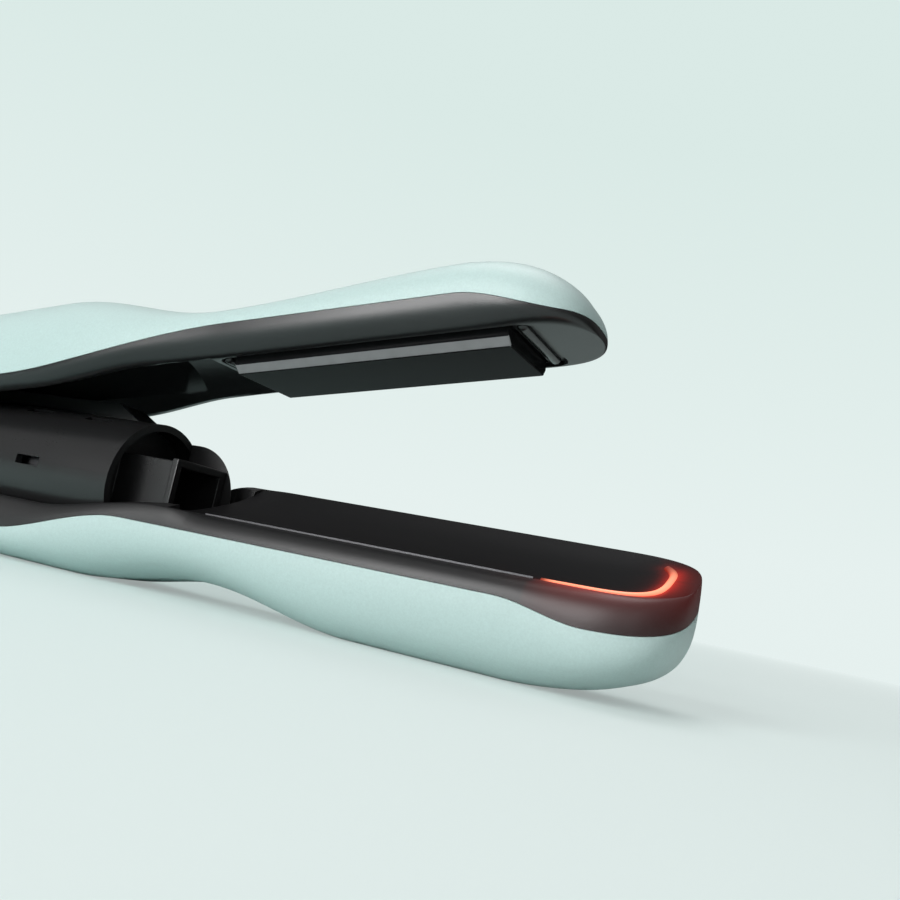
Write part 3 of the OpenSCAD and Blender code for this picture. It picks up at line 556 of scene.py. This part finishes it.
class Graph:
    """Nodes of a material or of the world."""

    def __init__(self, name, library="materials"):
        self.owner = getattr(bpy.data, library).new(name)
        self.owner.use_nodes = True
        self.tree = self.owner.node_tree
        self.tree.nodes.clear()

    def add(self, kind, settings=None, inputs=(), output=0):
        """A node of a kind, with its settings made first and then the values or links of its sockets."""
        node = self.tree.nodes.new(kind)
        for key, value in (settings or {}).items():
            setattr(node, key, value)
        for key, value in inputs.items() if isinstance(inputs, dict) else enumerate(inputs):
            if isinstance(value, Wire):
                self.tree.links.new(value.socket, node.inputs[key])
            else:
                node.inputs[key].default_value = value
        return Wire(self, node.outputs[output]) if node.outputs else None

    def place(self):
        return self.add("ShaderNodeTexCoord", output="Object")

    def attribute(self, name):
        """A value that the mesh carries under a name."""
        return self.add("ShaderNodeAttribute", {"attribute_name": name}, output="Fac")

    def noise(self, grain, detail=2.0):
        """Noise whose patches are about grain millimetres across."""
        sockets = {"Vector": self.place(), "Scale": 1 / (grain * MM), "Detail": detail}
        return self.add("ShaderNodeTexNoise", None, sockets)

    def blend(self, factor, first, second):
        """Colour between two others."""
        sockets = {"Factor": factor, 6: (*first, 1), 7: (*second, 1)}
        return self.add("ShaderNodeMix", {"data_type": "RGBA"}, sockets, output=2)

    def scaled(self, shade, factor):
        """Colour made lighter or darker."""
        return self.add("ShaderNodeVectorMath", {"operation": "SCALE"}, {0: shade, "Scale": factor})

    def ramp(self, value, start, end, low=0.0, high=1.0, kind="LINEAR"):
        """Value that runs from low to high as another runs from start to end."""
        sockets = {"Value": value, "From Min": start, "From Max": end, "To Min": low, "To Max": high}
        return self.add("ShaderNodeMapRange", {"interpolation_type": kind}, sockets)

    def toward(self, way, direction):
        """How far a way leans toward a direction."""
        sockets = {0: way, 1: direction}
        return self.add("ShaderNodeVectorMath", {"operation": "DOT_PRODUCT"}, sockets, output="Value")

    def relief(self, height, depth, strength=1.0):
        """Normal from a height of depth millimetres."""
        sockets = {"Height": height, "Distance": depth * MM, "Strength": strength}
        return self.add("ShaderNodeBump", None, sockets)

    def mixed(self, factor, first, second, output):
        """Ends the graph in a mix of two shaders."""
        both = self.add("ShaderNodeMixShader", None, {0: factor, 1: first, 2: second})
        self.add(output, None, {"Surface": both})
        return self.owner

    def surface(self, **sockets):
        """Ends the graph in one surface shader, whose sockets are named in small letters."""
        named = {}
        for key, value in sockets.items():
            named[key.replace("_", " ").title().replace("Ior", "IOR")] = value
        shader = self.add("ShaderNodeBsdfPrincipled", None, named)
        self.add("ShaderNodeOutputMaterial", None, {"Surface": shader})
        return self.owner


def moulded(name, shade, roughness=0.4, grain=0.35, depth=0.02):
    """Moulded plastic with a fine grain, faint clouding and a little change of gloss."""
    g = Graph(name)
    fine = g.noise(grain)
    cloud = g.noise(25, 3)
    return g.surface(
        base_color=g.scaled(shade, 0.94 + fine * 0.06 + cloud * 0.06),
        roughness=roughness - 0.05 + fine * 0.05 + cloud * 0.05,
        normal=g.relief(fine, depth),
    )


def satin_mint(shade):
    """Pale shell with a fine sandy grain under a soft satin coat."""
    g = Graph("mint_shell")
    grain = g.noise(0.45, 1)
    sand = g.noise(0.9, 2)
    cloud = g.noise(40, 2)
    return g.surface(
        base_color=g.scaled(shade, 0.87 + grain * 0.12 + sand * 0.09 + cloud * 0.04),
        roughness=0.42 + sand * 0.08,
        normal=g.relief(grain + sand, 0.02, 0.5),
        sheen_weight=0.05,
    )


def metal(name, shade, roughness=0.32):
    """Plain metal with faint streaks along X."""
    g = Graph(name)
    scale = g.add("ShaderNodeMapping", None, {"Vector": g.place(), "Scale": (60, 2500, 2500)})
    streak = g.add("ShaderNodeTexNoise", None, {"Vector": scale, "Scale": 1.0, "Detail": 2.0})
    return g.surface(
        base_color=g.scaled(shade, 0.85 + streak * 0.3),
        roughness=roughness - 0.06 + streak * 0.12,
        metallic=1.0,
    )


def glazed_plate(shade, edge):
    """Dark glossy ceramic coat with a faint mottle, and a painted highlight: lighter grey on the bevel.
    """
    g = Graph("plate_coat")
    mottle = g.noise(6, 4)
    fine = g.noise(0.5, 2)
    # The bevel's faces take the lighter grey, a painted highlight
    tone = g.blend(g.attribute("bevel"), shade, edge)
    return g.surface(
        base_color=g.scaled(tone, 0.8 + mottle * 0.4),
        roughness=0.16 + mottle * 0.05 + fine * 0.02,
        specular_ior_level=0.01,
    )


def glowing_line(core, edge):
    """Light guide: bright along its crest and red at its sides, fading at both ends."""
    g = Graph("light_line")
    return g.surface(
        base_color=(0.25, 0.02, 0.01, 1),
        roughness=0.3,
        emission_color=g.scaled(g.blend(g.attribute("crest"), edge, core), g.attribute("fade")),
        emission_strength=1.6,
    )


def lit_frame(name, shade, edge, shine):
    """Black frame with a painted red light round the light line, given as emission."""
    g = Graph(name)
    fine = g.noise(0.35)
    cloud = g.noise(25, 3)
    return g.surface(
        base_color=g.scaled(shade, 0.9 + fine * 0.1 + cloud * 0.1),
        roughness=0.36 + fine * 0.04 + cloud * 0.05,
        normal=g.relief(fine, 0.015),
        specular_ior_level=shine,
        # Painted red light: emission by the share painted on the mesh
        emission_color=g.scaled(edge, g.attribute("glow")),
        emission_strength=1.0,
    )


def tube(rings):
    """Grid of points bent into a tube: each ring closed, both ends filled."""
    around = len(rings[0])
    bm = bmesh.new()
    bmesh.ops.create_grid(bm, x_segments=len(rings) - 1, y_segments=around, size=1)
    for v in bm.verts:
        i = round((v.co.x + 1) / 2 * (len(rings) - 1))
        j = round((v.co.y + 1) / 2 * around) % around
        v.co = rings[i][j]
    bmesh.ops.remove_doubles(bm, verts=bm.verts, dist=MERGE)
    bmesh.ops.holes_fill(bm, edges=[e for e in bm.edges if e.is_boundary], sides=0)
    bmesh.ops.recalc_face_normals(bm, faces=bm.faces)
    return bm


def piece(name, bm, body, material, replaces, sharp, bevel=0.0):
    """Object from a bmesh: smooth, riding on a body, with soft edges if a bevel is given."""
    mesh = bpy.data.meshes.new(name)
    bm.to_mesh(mesh)
    bm.free()
    mesh.polygons.foreach_set("use_smooth", [True] * len(mesh.polygons))
    mesh.set_sharp_from_angle(angle=math.radians(sharp))
    mesh.materials.append(material)
    obj = bpy.data.objects.new(name, mesh)
    bpy.context.collection.objects.link(obj)
    if bevel:
        soft = obj.modifiers.new("soft_edges", "BEVEL")
        soft.width = bevel * MM
        soft.segments = BEVEL_STEPS
        soft.limit_method = "ANGLE"
        soft.angle_limit = math.radians(sharp)
    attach(obj, body)
    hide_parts(*replaces)
    return obj


def refined(node, material, bevel):
    """Copy of a CAD node with its flat faces joined and its edges softened, in the node's place."""
    source = FRAME["nodes"][node]
    bm = bmesh.new()
    bm.from_mesh(source.data)
    bmesh.ops.remove_doubles(bm, verts=bm.verts, dist=CAD_MERGE)
    bmesh.ops.dissolve_limit(bm, angle_limit=math.radians(CAD_FLAT), verts=bm.verts, edges=bm.edges)
    body = next(key for key, nodes in FRAME["record"]["behaviour"]["bodies"].items() if node in nodes)
    return piece(node + "_soft", bm, body, material, (node,), CAD_SHARP, bevel)


def finish(node, material):
    """Gives a CAD node its finish."""
    mesh = FRAME["nodes"][node].data
    mesh.materials.clear()
    mesh.materials.append(material)


def paint(obj, name, domain, cells, value):
    """Gives the points or faces of a mesh a value each, which its material reads by name."""
    layer = obj.data.attributes.new(name, "FLOAT", domain)
    for place, cell in zip(cells, layer.data):
        cell.value = value(place)


def section(form, x, half, seams, reach, direction, inset, share=1.0):
    """Row of a shell's section, from its near seam to its far one, spread over a share of the width."""
    row = []
    for k in range(SHELL_STEPS + 1):
        a = math.pi * (1 - k / SHELL_STEPS)
        y = power(math.cos(a), 2 / form.section_n)
        seam = mix(*seams, (share * y + 1) / 2)
        deep = max(form.least, direction * (reach - seam) - inset)
        rise = min(1, form.section_top * max(0.0, math.sin(a)) ** (2 / form.section_n))
        row.append((x, y * max(form.least, half - inset), seam + direction * deep * rise))
    return row


def shell_rings(form, lower):
    """Rings of a shell's wall: the outer section from seam to seam, and the inner one back."""
    if lower:
        tail, tip, tail_run = form.lower_tail, form.lower_len, form.lower_tail_run
    else:
        tail, tip, tail_run = form.upper_tail, form.upper_len, form.upper_tail_run
    rings = []
    for x in stations(tail, tip, tail_run, form.nose_run):
        rear = max(0, tail_run - tail - x) / tail_run
        front = max(0, x - tip + form.nose_run) / form.nose_run
        ring = []
        # The inner row lies back from the arm's ends, by up to the wall's thickness
        for inset, shift in ((0, 0), (form.shell_t, form.shell_t * (rear**2 - front**2))):
            place = x + shift
            if lower:
                half = form.lower_half(x)
                seams = [form.lower_seam(place, side) for side in (-1, 1)]
                share = max(form.least, half - inset) / form.lower_half(place)
                row = section(form, place, half, seams, form.lower_reach(x, min(seams)), -1, inset, share)
            else:
                seam = form.upper_seam(place)
                reach = seam + form.upper_height(x)
                row = section(form, place, form.upper_half(x), (seam, seam), reach, 1, inset)
            ring += reversed(row) if inset else row
        rings.append([form.lower_place(p) if lower else form.upper_place(p) for p in ring])
    return rings


def soft_band(x, side, half, r, seam, face):
    """Quarter round between a frame's seam and its face, on one side."""
    row = []
    for k in range(BAND_STEPS):
        a = math.pi / 2 * k / BAND_STEPS
        row.append((x, side * (half - r * (1 - math.cos(a))), mix(seam, face, math.sin(a))))
    return row if side < 0 else row[::-1]


def lower_frame_rings(form):
    """Rings of the lower frame: soft rim, tray or cradle with the air slot, soft rim, underside."""
    wide = form.jaw_w / 2 - form.rim_r
    slot = [(form.slot_y + s * form.slot_w / 2) / wide for s in (-1, 1)]
    slot_edge = 0.0012
    shares = [k / TRAY_STEPS for k in range(-TRAY_STEPS, TRAY_STEPS + 1)]
    shares = sorted(shares + [t + d for t in slot for d in (-slot_edge, slot_edge)])
    cuts = (form.deck_x, form.tray_x, form.slot_x, form.slot_front)
    # One station a millimetre round the front end of the slot
    close = [form.slot_front + k for k in range(-22, 7)]
    places = stations(form.lower_tail, form.lower_len, form.lower_tail_run, form.nose_run, cuts)
    rings = []
    for x in sorted(places + close):
        half, r = form.lower_half(x), form.rim_edge(x)
        near, far = [form.lower_seam(x, side) + form.seam_gap for side in (-1, 1)]
        ring = soft_band(x, -1, half, r, near, form.lower_rim(x, -1))
        for t in shares:
            y = t * (half - r)
            cut = slot[0] < t < slot[1] and form.slot_x < x < form.slot_front
            ring.append((x, y, form.lower_inside(x, y) - (form.slot_depth if cut else 0)))
        ring += soft_band(x, 1, half, r, far, form.lower_rim(x, 1))
        under = max(form.least_half, form.within_shell(form.lower_half, x) - form.seat)
        for k in range(UNDER_STEPS, -UNDER_STEPS - 1, -1):
            y = under * k / UNDER_STEPS
            seam = mix(near, far, (y / half + 1) / 2)
            lowest = min(form.lower_inside(x + d, y) for d in (-form.floor_reach, 0, form.floor_reach))
            floor = lowest - form.frame_t - form.floor_drop
            ring.append((x, y, seam if abs(k) == UNDER_STEPS else min(seam, floor)))
        rings.append([form.lower_place(p) for p in ring])
    return rings


def upper_frame_rings(form):
    """Rings of the upper frame: soft band, face with hollow and pocket, soft band, top in the shell."""
    middle, run = form.recess_middle, form.recess_half_run
    turns = [math.radians(90 * k / CORNER_STEPS) for k in range(CORNER_STEPS)]
    bends = [form.recess_corner * (1 - math.cos(a)) for a in turns]
    corners = [middle + s * (run - bend) for s in (-1, 1) for bend in bends]
    cuts = (form.blower_end, form.wrap_front, form.pocket_rear, form.pocket_front, *corners)
    cuts += (-form.hinge_r, form.hinge_r)
    rings = []
    for x in stations(form.upper_tail, form.upper_len, form.upper_tail_run, form.nose_run, cuts):
        half = form.upper_half(x)
        r = min(form.band_r, half * form.edge_share)
        seam, low = form.upper_seam(x) - form.seam_gap, form.upper_low(x)
        flat = half - r
        edges = (form.pocket_half, form.blower_r + form.wrap_gap, form.recess_half(x) or flat / 2)
        ys = [min(flat, y + d) for y in edges for d in (-STEP_GAP, STEP_GAP)]
        ys += [-y for y in ys] + [flat * k / FACE_STEPS for k in range(-FACE_STEPS, FACE_STEPS + 1)]
        ring = soft_band(x, -1, half, r, seam, low)
        ring += [(x, y, form.upper_inside(x, y)) for y in sorted(ys)]
        ring += soft_band(x, 1, half, r, seam, low)
        room = max(form.least, form.within_shell(form.upper_height, x) - 2 * form.seat)
        inner = max(form.least_roof_half, form.within_shell(form.upper_half, x) - form.seat)
        for k in range(ARCH_STEPS + 1):
            a = math.pi * k / ARCH_STEPS
            y = inner * power(math.cos(a), 2 / form.section_n)
            rise = room * max(0.0, math.sin(a)) ** (2 / form.section_n)
            ring.append((x, y, min(max(seam, form.upper_roof(x)), seam + rise)))
        rings.append([form.upper_place(p) for p in ring])
    return rings


def light_line_rings(form, line):
    """Rings of the light guide round its line."""
    rings = []
    for k, p in enumerate(line):
        along = (line[min(k + 1, len(line) - 1)] - line[max(0, k - 1)]).normalized()
        side = along.cross(Vector((0, 0, 1))).normalized()
        lift = side.cross(along)
        ring = []
        for j in range(LINE_SIDES):
            a = 2 * math.pi * j / LINE_SIDES
            ring.append(form.lower_place(p + form.guide_r * (math.cos(a) * side + math.sin(a) * lift)))
        rings.append(ring)
    return rings


def nearest(point, spots):
    """Distance to the nearest of some spots, and which one that is."""
    return min(((point - p).length, k) for k, p in enumerate(spots))


def faded(share, over, first, last):
    """Soft fade at both ends of a line, which starts and ends a little past it."""
    return smooth((share + over) / first) * smooth((1 + over - share) / last)


def light_on(point, line, middle):
    """Share of the painted red light at a point beside the light line: more outside it than inside."""
    if point.x < line[0].x - LIGHT_BEHIND:
        return 0.0
    gap, place = nearest(point, line)
    gap /= MM
    outside = (point - middle).length > (line[place] - middle).length
    wide, strong = LIGHT_OUTSIDE if outside else LIGHT_INSIDE
    close, bright = LIGHT_BESIDE
    light = bright * math.exp(-((gap / close) ** 2)) + strong * math.exp(-gap / wide)
    return light * faded(place / (len(line) - 1), 0.1, 0.35, 0.35)


def sizes_form(context):
    return Form(context.scene.straightener_sizes)


def paper(colours):
    """Pale floor that keeps the shadow and turns into the backdrop far away."""
    g = Graph("floor_paper")
    camera_ray = g.add("ShaderNodeLightPath")
    along = g.add("ShaderNodeSeparateXYZ", None, {"Vector": g.place()})
    tone = g.blend(g.ramp(along, start=0.20, end=0.0), colours.floor, colours.floor_left)
    lit = g.add("ShaderNodeBsdfDiffuse", None, {"Color": tone})
    seen = g.add("ShaderNodeEmission", None, {"Color": (*colours.horizon, 1), "Strength": 1.0})
    distance = g.add("ShaderNodeVectorMath", {"operation": "LENGTH"}, {0: g.place()}, output="Value")
    far = g.ramp(distance, start=0.2, end=0.9, low=0.4)
    return g.mixed(camera_ray * far, lit, seen, "ShaderNodeOutputMaterial")


def studio(colours):
    """Soft light from above and from the near side, and a backdrop that is lighter toward the floor."""
    g = Graph("studio", "worlds")
    way = g.add("ShaderNodeTexCoord", output="Generated")
    lean = g.toward(way, (0.0, -0.45, 0.9))
    strength = g.ramp(lean, start=-0.35, end=0.9, low=0.02, high=0.36, kind="SMOOTHSTEP")
    room = g.add("ShaderNodeBackground", None, {"Color": (1, 1, 1, 1), "Strength": strength})
    low = g.ramp(g.toward(way, (0, 0, 1)), start=0.48, end=0.08)
    tone = g.blend(low, colours.backdrop, colours.horizon)
    back = g.add("ShaderNodeBackground", None, {"Color": tone})
    camera_ray = g.add("ShaderNodeLightPath")
    return g.mixed(camera_ray, room, back, "ShaderNodeOutputWorld")


def area_lamp(name, spot, size, watts, target):
    """Square lamp that faces a target."""
    lamp = bpy.data.lights.new(name, "AREA")
    lamp.shape = "SQUARE"
    lamp.size = size
    lamp.energy = watts
    obj = bpy.data.objects.new(name, lamp)
    obj.location = spot
    obj.rotation_euler = (Vector(spot) - target).to_track_quat("Z", "Y").to_euler()
    bpy.context.collection.objects.link(obj)


def photo_camera(azimuth, height, roll, focus, far, aim):
    """Camera that looks at a point from angles in degrees, with its focus in pixels of the frame."""
    frame_pixels = 900
    azimuth, height, roll = (math.radians(angle) for angle in (azimuth, height, roll))
    level = math.cos(height)
    back = Vector((math.sin(azimuth) * level, -math.cos(azimuth) * level, math.sin(height)))
    right = Vector((math.cos(azimuth), math.sin(azimuth), 0))
    up = back.cross(right)
    right, up = (
        right * math.cos(roll) + up * math.sin(roll),
        up * math.cos(roll) - right * math.sin(roll),
    )
    camera = bpy.data.objects.new("camera", bpy.data.cameras.new("camera"))
    camera.data.sensor_width = 36
    camera.data.lens = focus / frame_pixels * camera.data.sensor_width
    camera.data.clip_start = 0.01
    turn = Matrix((right, up, back)).transposed().to_4x4()
    camera.matrix_world = Matrix.Translation(aim + back * far) @ turn
    bpy.context.collection.objects.link(camera)
    bpy.context.scene.camera = camera


class STRAIGHTENER_OT_stage(bpy.types.Operator):
    """Floor, backdrop, lamps and camera."""

    bl_idname = "straightener.stage"
    bl_label = "Stage"

    def execute(self, context):
        colours = context.scene.straightener_colours
        bm = bmesh.new()
        bmesh.ops.create_circle(bm, cap_ends=True, segments=96, radius=4)
        mesh = bpy.data.meshes.new("floor")
        bm.to_mesh(mesh)
        bm.free()
        floor = bpy.data.objects.new("floor", mesh)
        context.collection.objects.link(floor)
        mesh.materials.append(paper(colours))

        context.scene.view_settings.view_transform = "Standard"
        context.scene.world = studio(colours)
        target = Vector((0.12, 0, 0.05))
        area_lamp("key", (-0.16, -1.00, 0.55), 0.55, 6.9, target)
        area_lamp("top", (0.00, 0.15, 0.95), 0.6, 3.5, target)
        area_lamp("side", (-0.30, -0.90, 0.19), 0.3, 3.4, target)
        area_lamp("fill", (0.60, -0.80, 0.50), 0.6, 1.0, target)
        photo_camera(
            azimuth=25.6,
            height=-7.9,
            roll=11.4,
            focus=876.0,
            far=0.2014,
            aim=Vector((0.1502, -0.0115, 0.0477)),
        )
        return {"FINISHED"}


class STRAIGHTENER_OT_shells(bpy.types.Operator):
    """Both mint shells."""

    bl_idname = "straightener.shells"
    bl_label = "Shells"

    def execute(self, context):
        form = sizes_form(context)
        mint = satin_mint(context.scene.straightener_colours.mint)
        for arm in ("lower", "upper"):
            bm = tube(shell_rings(form, arm == "lower"))
            shell = arm + "_shell"
            piece(shell + "_skin", bm, arm + "_arm", mint, (shell,), SKIN_SHARP, 0.25)
        return {"FINISHED"}


class STRAIGHTENER_OT_lower_frame(bpy.types.Operator):
    """Black frame of the lower arm, with its tray, air slot and the red light painted on it."""

    bl_idname = "straightener.lower_frame"
    bl_label = "Lower frame"

    def execute(self, context):
        form = sizes_form(context)
        colours = context.scene.straightener_colours
        rim = lit_frame("lower_frame_black", colours.black, colours.glow_edge, 0.5)
        tray = lit_frame("tray_black", colours.black, colours.glow_edge, 0.03)
        bm = tube(lower_frame_rings(form))
        frame = piece("lower_frame_body", bm, "lower_arm", rim, ("lower_frame",), SKIN_SHARP)
        frame.data.materials.append(tray)
        upward = 0.7
        for face in frame.data.polygons:
            x = face.center.x / MM + form.rest_x
            y = face.center.y / MM
            if x > form.tray_x and abs(y) < form.inner_half(x) and face.normal.z > upward:
                face.material_index = 1
        line = [form.lower_place(p) for p in form.nose_line(0, LINE_STEPS)]
        x = form.lower_len - form.line_middle
        middle = form.lower_place((x, 0, form.tray_floor(x, 0)))
        # Painted red light on the frame round the light line, by each point's distance from it
        paint(frame, "glow", "POINT", frame.data.vertices, lambda v: light_on(v.co, line, middle))
        return {"FINISHED"}


class STRAIGHTENER_OT_upper_frame(bpy.types.Operator):
    """Black frame of the upper arm, with the hollow for the blower and the pocket for the plate."""

    bl_idname = "straightener.upper_frame"
    bl_label = "Upper frame"

    def execute(self, context):
        colours = context.scene.straightener_colours
        black = moulded("upper_frame_black", colours.black, 0.30, depth=0.015)
        bm = tube(upper_frame_rings(sizes_form(context)))
        piece("upper_frame_body", bm, "upper_arm", black, ("upper_frame",), SKIN_SHARP)
        return {"FINISHED"}


class STRAIGHTENER_OT_light_line(bpy.types.Operator):
    """Light line round the nose of the lower arm."""

    bl_idname = "straightener.light_line"
    bl_label = "Light line"

    def execute(self, context):
        form = sizes_form(context)
        colours = context.scene.straightener_colours
        line = [Vector(p) for p in form.nose_line(-form.line_sunk * form.guide_r, LINE_STEPS)]
        material = glowing_line(colours.glow_core, colours.glow_edge)
        bm = tube(light_line_rings(form, line))
        guide = piece("light_line", bm, "lower_arm", material, ("light_guide",), LINE_SHARP)
        spots = [form.lower_place(p) for p in line]

        def crest(v):
            lift = v.co.z - spots[nearest(v.co, spots)[1]].z
            return min(1.0, max(0.0, lift / (form.guide_r * MM))) ** 0.7

        def fade(v):
            return faded(nearest(v.co, spots)[1] / (len(spots) - 1), 0.02, 0.22, 0.3)

        paint(guide, "crest", "POINT", guide.data.vertices, crest)
        paint(guide, "fade", "POINT", guide.data.vertices, fade)
        return {"FINISHED"}


class STRAIGHTENER_OT_blower(bpy.types.Operator):
    """Blower housing, cheek, duct, nozzle and what shows inside them."""

    bl_idname = "straightener.blower"
    bl_label = "Blower"

    def execute(self, context):
        dark = moulded("blower_black", context.scene.straightener_colours.dark, 0.29, 0.4, 0.015)
        for node in ("blower_housing", "front_cowl", "lead_duct", "outlet_nozzle", "slot_duct"):
            refined(node, dark, 0.35)
        # Very dark steel for the duct and the motor inside the housing: painted shade for the dark inside
        # behind the vents
        steel = metal("duct_steel", (0.10, 0.10, 0.105))
        for node in ("inner_duct", "fan_motor"):
            finish(node, steel)
        finish("heater_frame", moulded("mica", (0.42, 0.33, 0.20), 0.5, 1.5))
        finish("heating_coil", metal("coil_wire", (0.30, 0.27, 0.25)))
        finish("motor_mount", moulded("motor_rubber", (0.02, 0.02, 0.02), 0.7))
        refined("fan_impeller", moulded("fan_grey", (0.45, 0.45, 0.45), 0.4), 0.15)
        refined("slot_lip", metal("lip_metal", (0.09, 0.09, 0.095), 0.45), 0.08)
        finish("light_board", moulded("lamp_board", (0.7, 0.7, 0.66), 0.5))
        return {"FINISHED"}


class STRAIGHTENER_OT_plate(bpy.types.Operator):
    """Heated plate, its ridges and what carries it."""

    bl_idname = "straightener.plate"
    bl_label = "Heated plate"

    def execute(self, context):
        form = sizes_form(context)
        colours = context.scene.straightener_colours
        up = (form.upper_place((0, 0, 1)) - form.upper_place((0, 0, 0))).normalized()
        plate = refined("hot_plate", glazed_plate(colours.plate, colours.bevel), 0.35)
        level, upright = -0.95, -0.3

        # Faces of the bevel, which take the painted highlight
        def bevel(face):
            return 1.0 if level < face.normal.dot(up) < upright else 0.0

        paint(plate, "bevel", "FACE", plate.data.polygons, bevel)
        refined("plate_guards", moulded("ridge_black", (0.012, 0.012, 0.012), 0.2, 0.6, 0.005), 0.0)
        finish("plate_heater", moulded("heater_white", (0.6, 0.57, 0.48), 0.6))
        finish("thermostat", metal("thermostat_steel", (0.5, 0.5, 0.5)))
        finish("plate_cushions", moulded("silicone_red", (0.25, 0.03, 0.02), 0.6))
        return {"FINISHED"}


class STRAIGHTENER_OT_hinge(bpy.types.Operator):
    """Hinge, its spring and screws, the gland and the closing lock."""

    bl_idname = "straightener.hinge"
    bl_label = "Hinge and gland"

    def execute(self, context):
        steel = metal("pin_steel", (0.5, 0.5, 0.52))
        refined("hinge_pin", steel, 0.2)
        for node in ("hinge_spring", "hinge_screws", "upper_screws"):
            finish(node, steel)
        black = moulded("bracket_black", (0.02, 0.02, 0.021), 0.45, 0.6)
        for node in ("lower_hinge_bracket", "upper_hinge_bracket", "lock_slider"):
            refined(node, black, 0.25)
        refined("gland_collar", black, 0.4)
        refined("cord_gland", moulded("gland_rubber", (0.015, 0.015, 0.015), 0.6), 0.4)
        return {"FINISHED"}


class STRAIGHTENER_OT_controls(bpy.types.Operator):
    """Control panel, its buttons, display and board."""

    bl_idname = "straightener.controls"
    bl_label = "Controls"

    def execute(self, context):
        refined("control_panel", moulded("panel_black", (0.02, 0.02, 0.021), 0.32, 0.4), 0.3)
        button = moulded("button_black", (0.03, 0.03, 0.031), 0.3, 0.4)
        for node in ("power_button", "minus_button", "plus_button", "mode_button"):
            refined(node, button, 0.35)
        refined("display_lens", moulded("lens_black", (0.004, 0.004, 0.005), 0.08, 3.0, 0.002), 0.2)
        finish("control_board", moulded("board_green", (0.01, 0.08, 0.03), 0.45))
        return {"FINISHED"}


PIECES = (
    STRAIGHTENER_OT_stage,
    STRAIGHTENER_OT_shells,
    STRAIGHTENER_OT_lower_frame,
    STRAIGHTENER_OT_upper_frame,
    STRAIGHTENER_OT_light_line,
    STRAIGHTENER_OT_blower,
    STRAIGHTENER_OT_plate,
    STRAIGHTENER_OT_hinge,
    STRAIGHTENER_OT_controls,
)


class STRAIGHTENER_PT_panel(bpy.types.Panel):
    """Sizes, colours and the pieces to make."""

    bl_idname = "STRAIGHTENER_PT_panel"
    bl_label = "Hot-air straightener"
    bl_space_type = "VIEW_3D"
    bl_region_type = "UI"
    bl_category = "Straightener"

    def draw(self, context):
        for group in (context.scene.straightener_sizes, context.scene.straightener_colours):
            box = self.layout.box()
            for name in group.__annotations__:
                box.prop(group, name)
        for operator in PIECES:
            self.layout.operator(operator.bl_idname)


def register():
    for cls in (StraightenerSizes, StraightenerColours, *PIECES, STRAIGHTENER_PT_panel):
        bpy.utils.register_class(cls)
    bpy.types.Scene.straightener_sizes = PointerProperty(type=StraightenerSizes)
    bpy.types.Scene.straightener_colours = PointerProperty(type=StraightenerColours)


def unregister():
    del bpy.types.Scene.straightener_colours
    del bpy.types.Scene.straightener_sizes
    for cls in (STRAIGHTENER_PT_panel, *reversed(PIECES), StraightenerColours, StraightenerSizes):
        bpy.utils.unregister_class(cls)


def main():
    register()
    for operator in PIECES:
        group, name = operator.bl_idname.split(".")
        getattr(getattr(bpy.ops, group), name)()


if __name__ == "__main__":
    main()
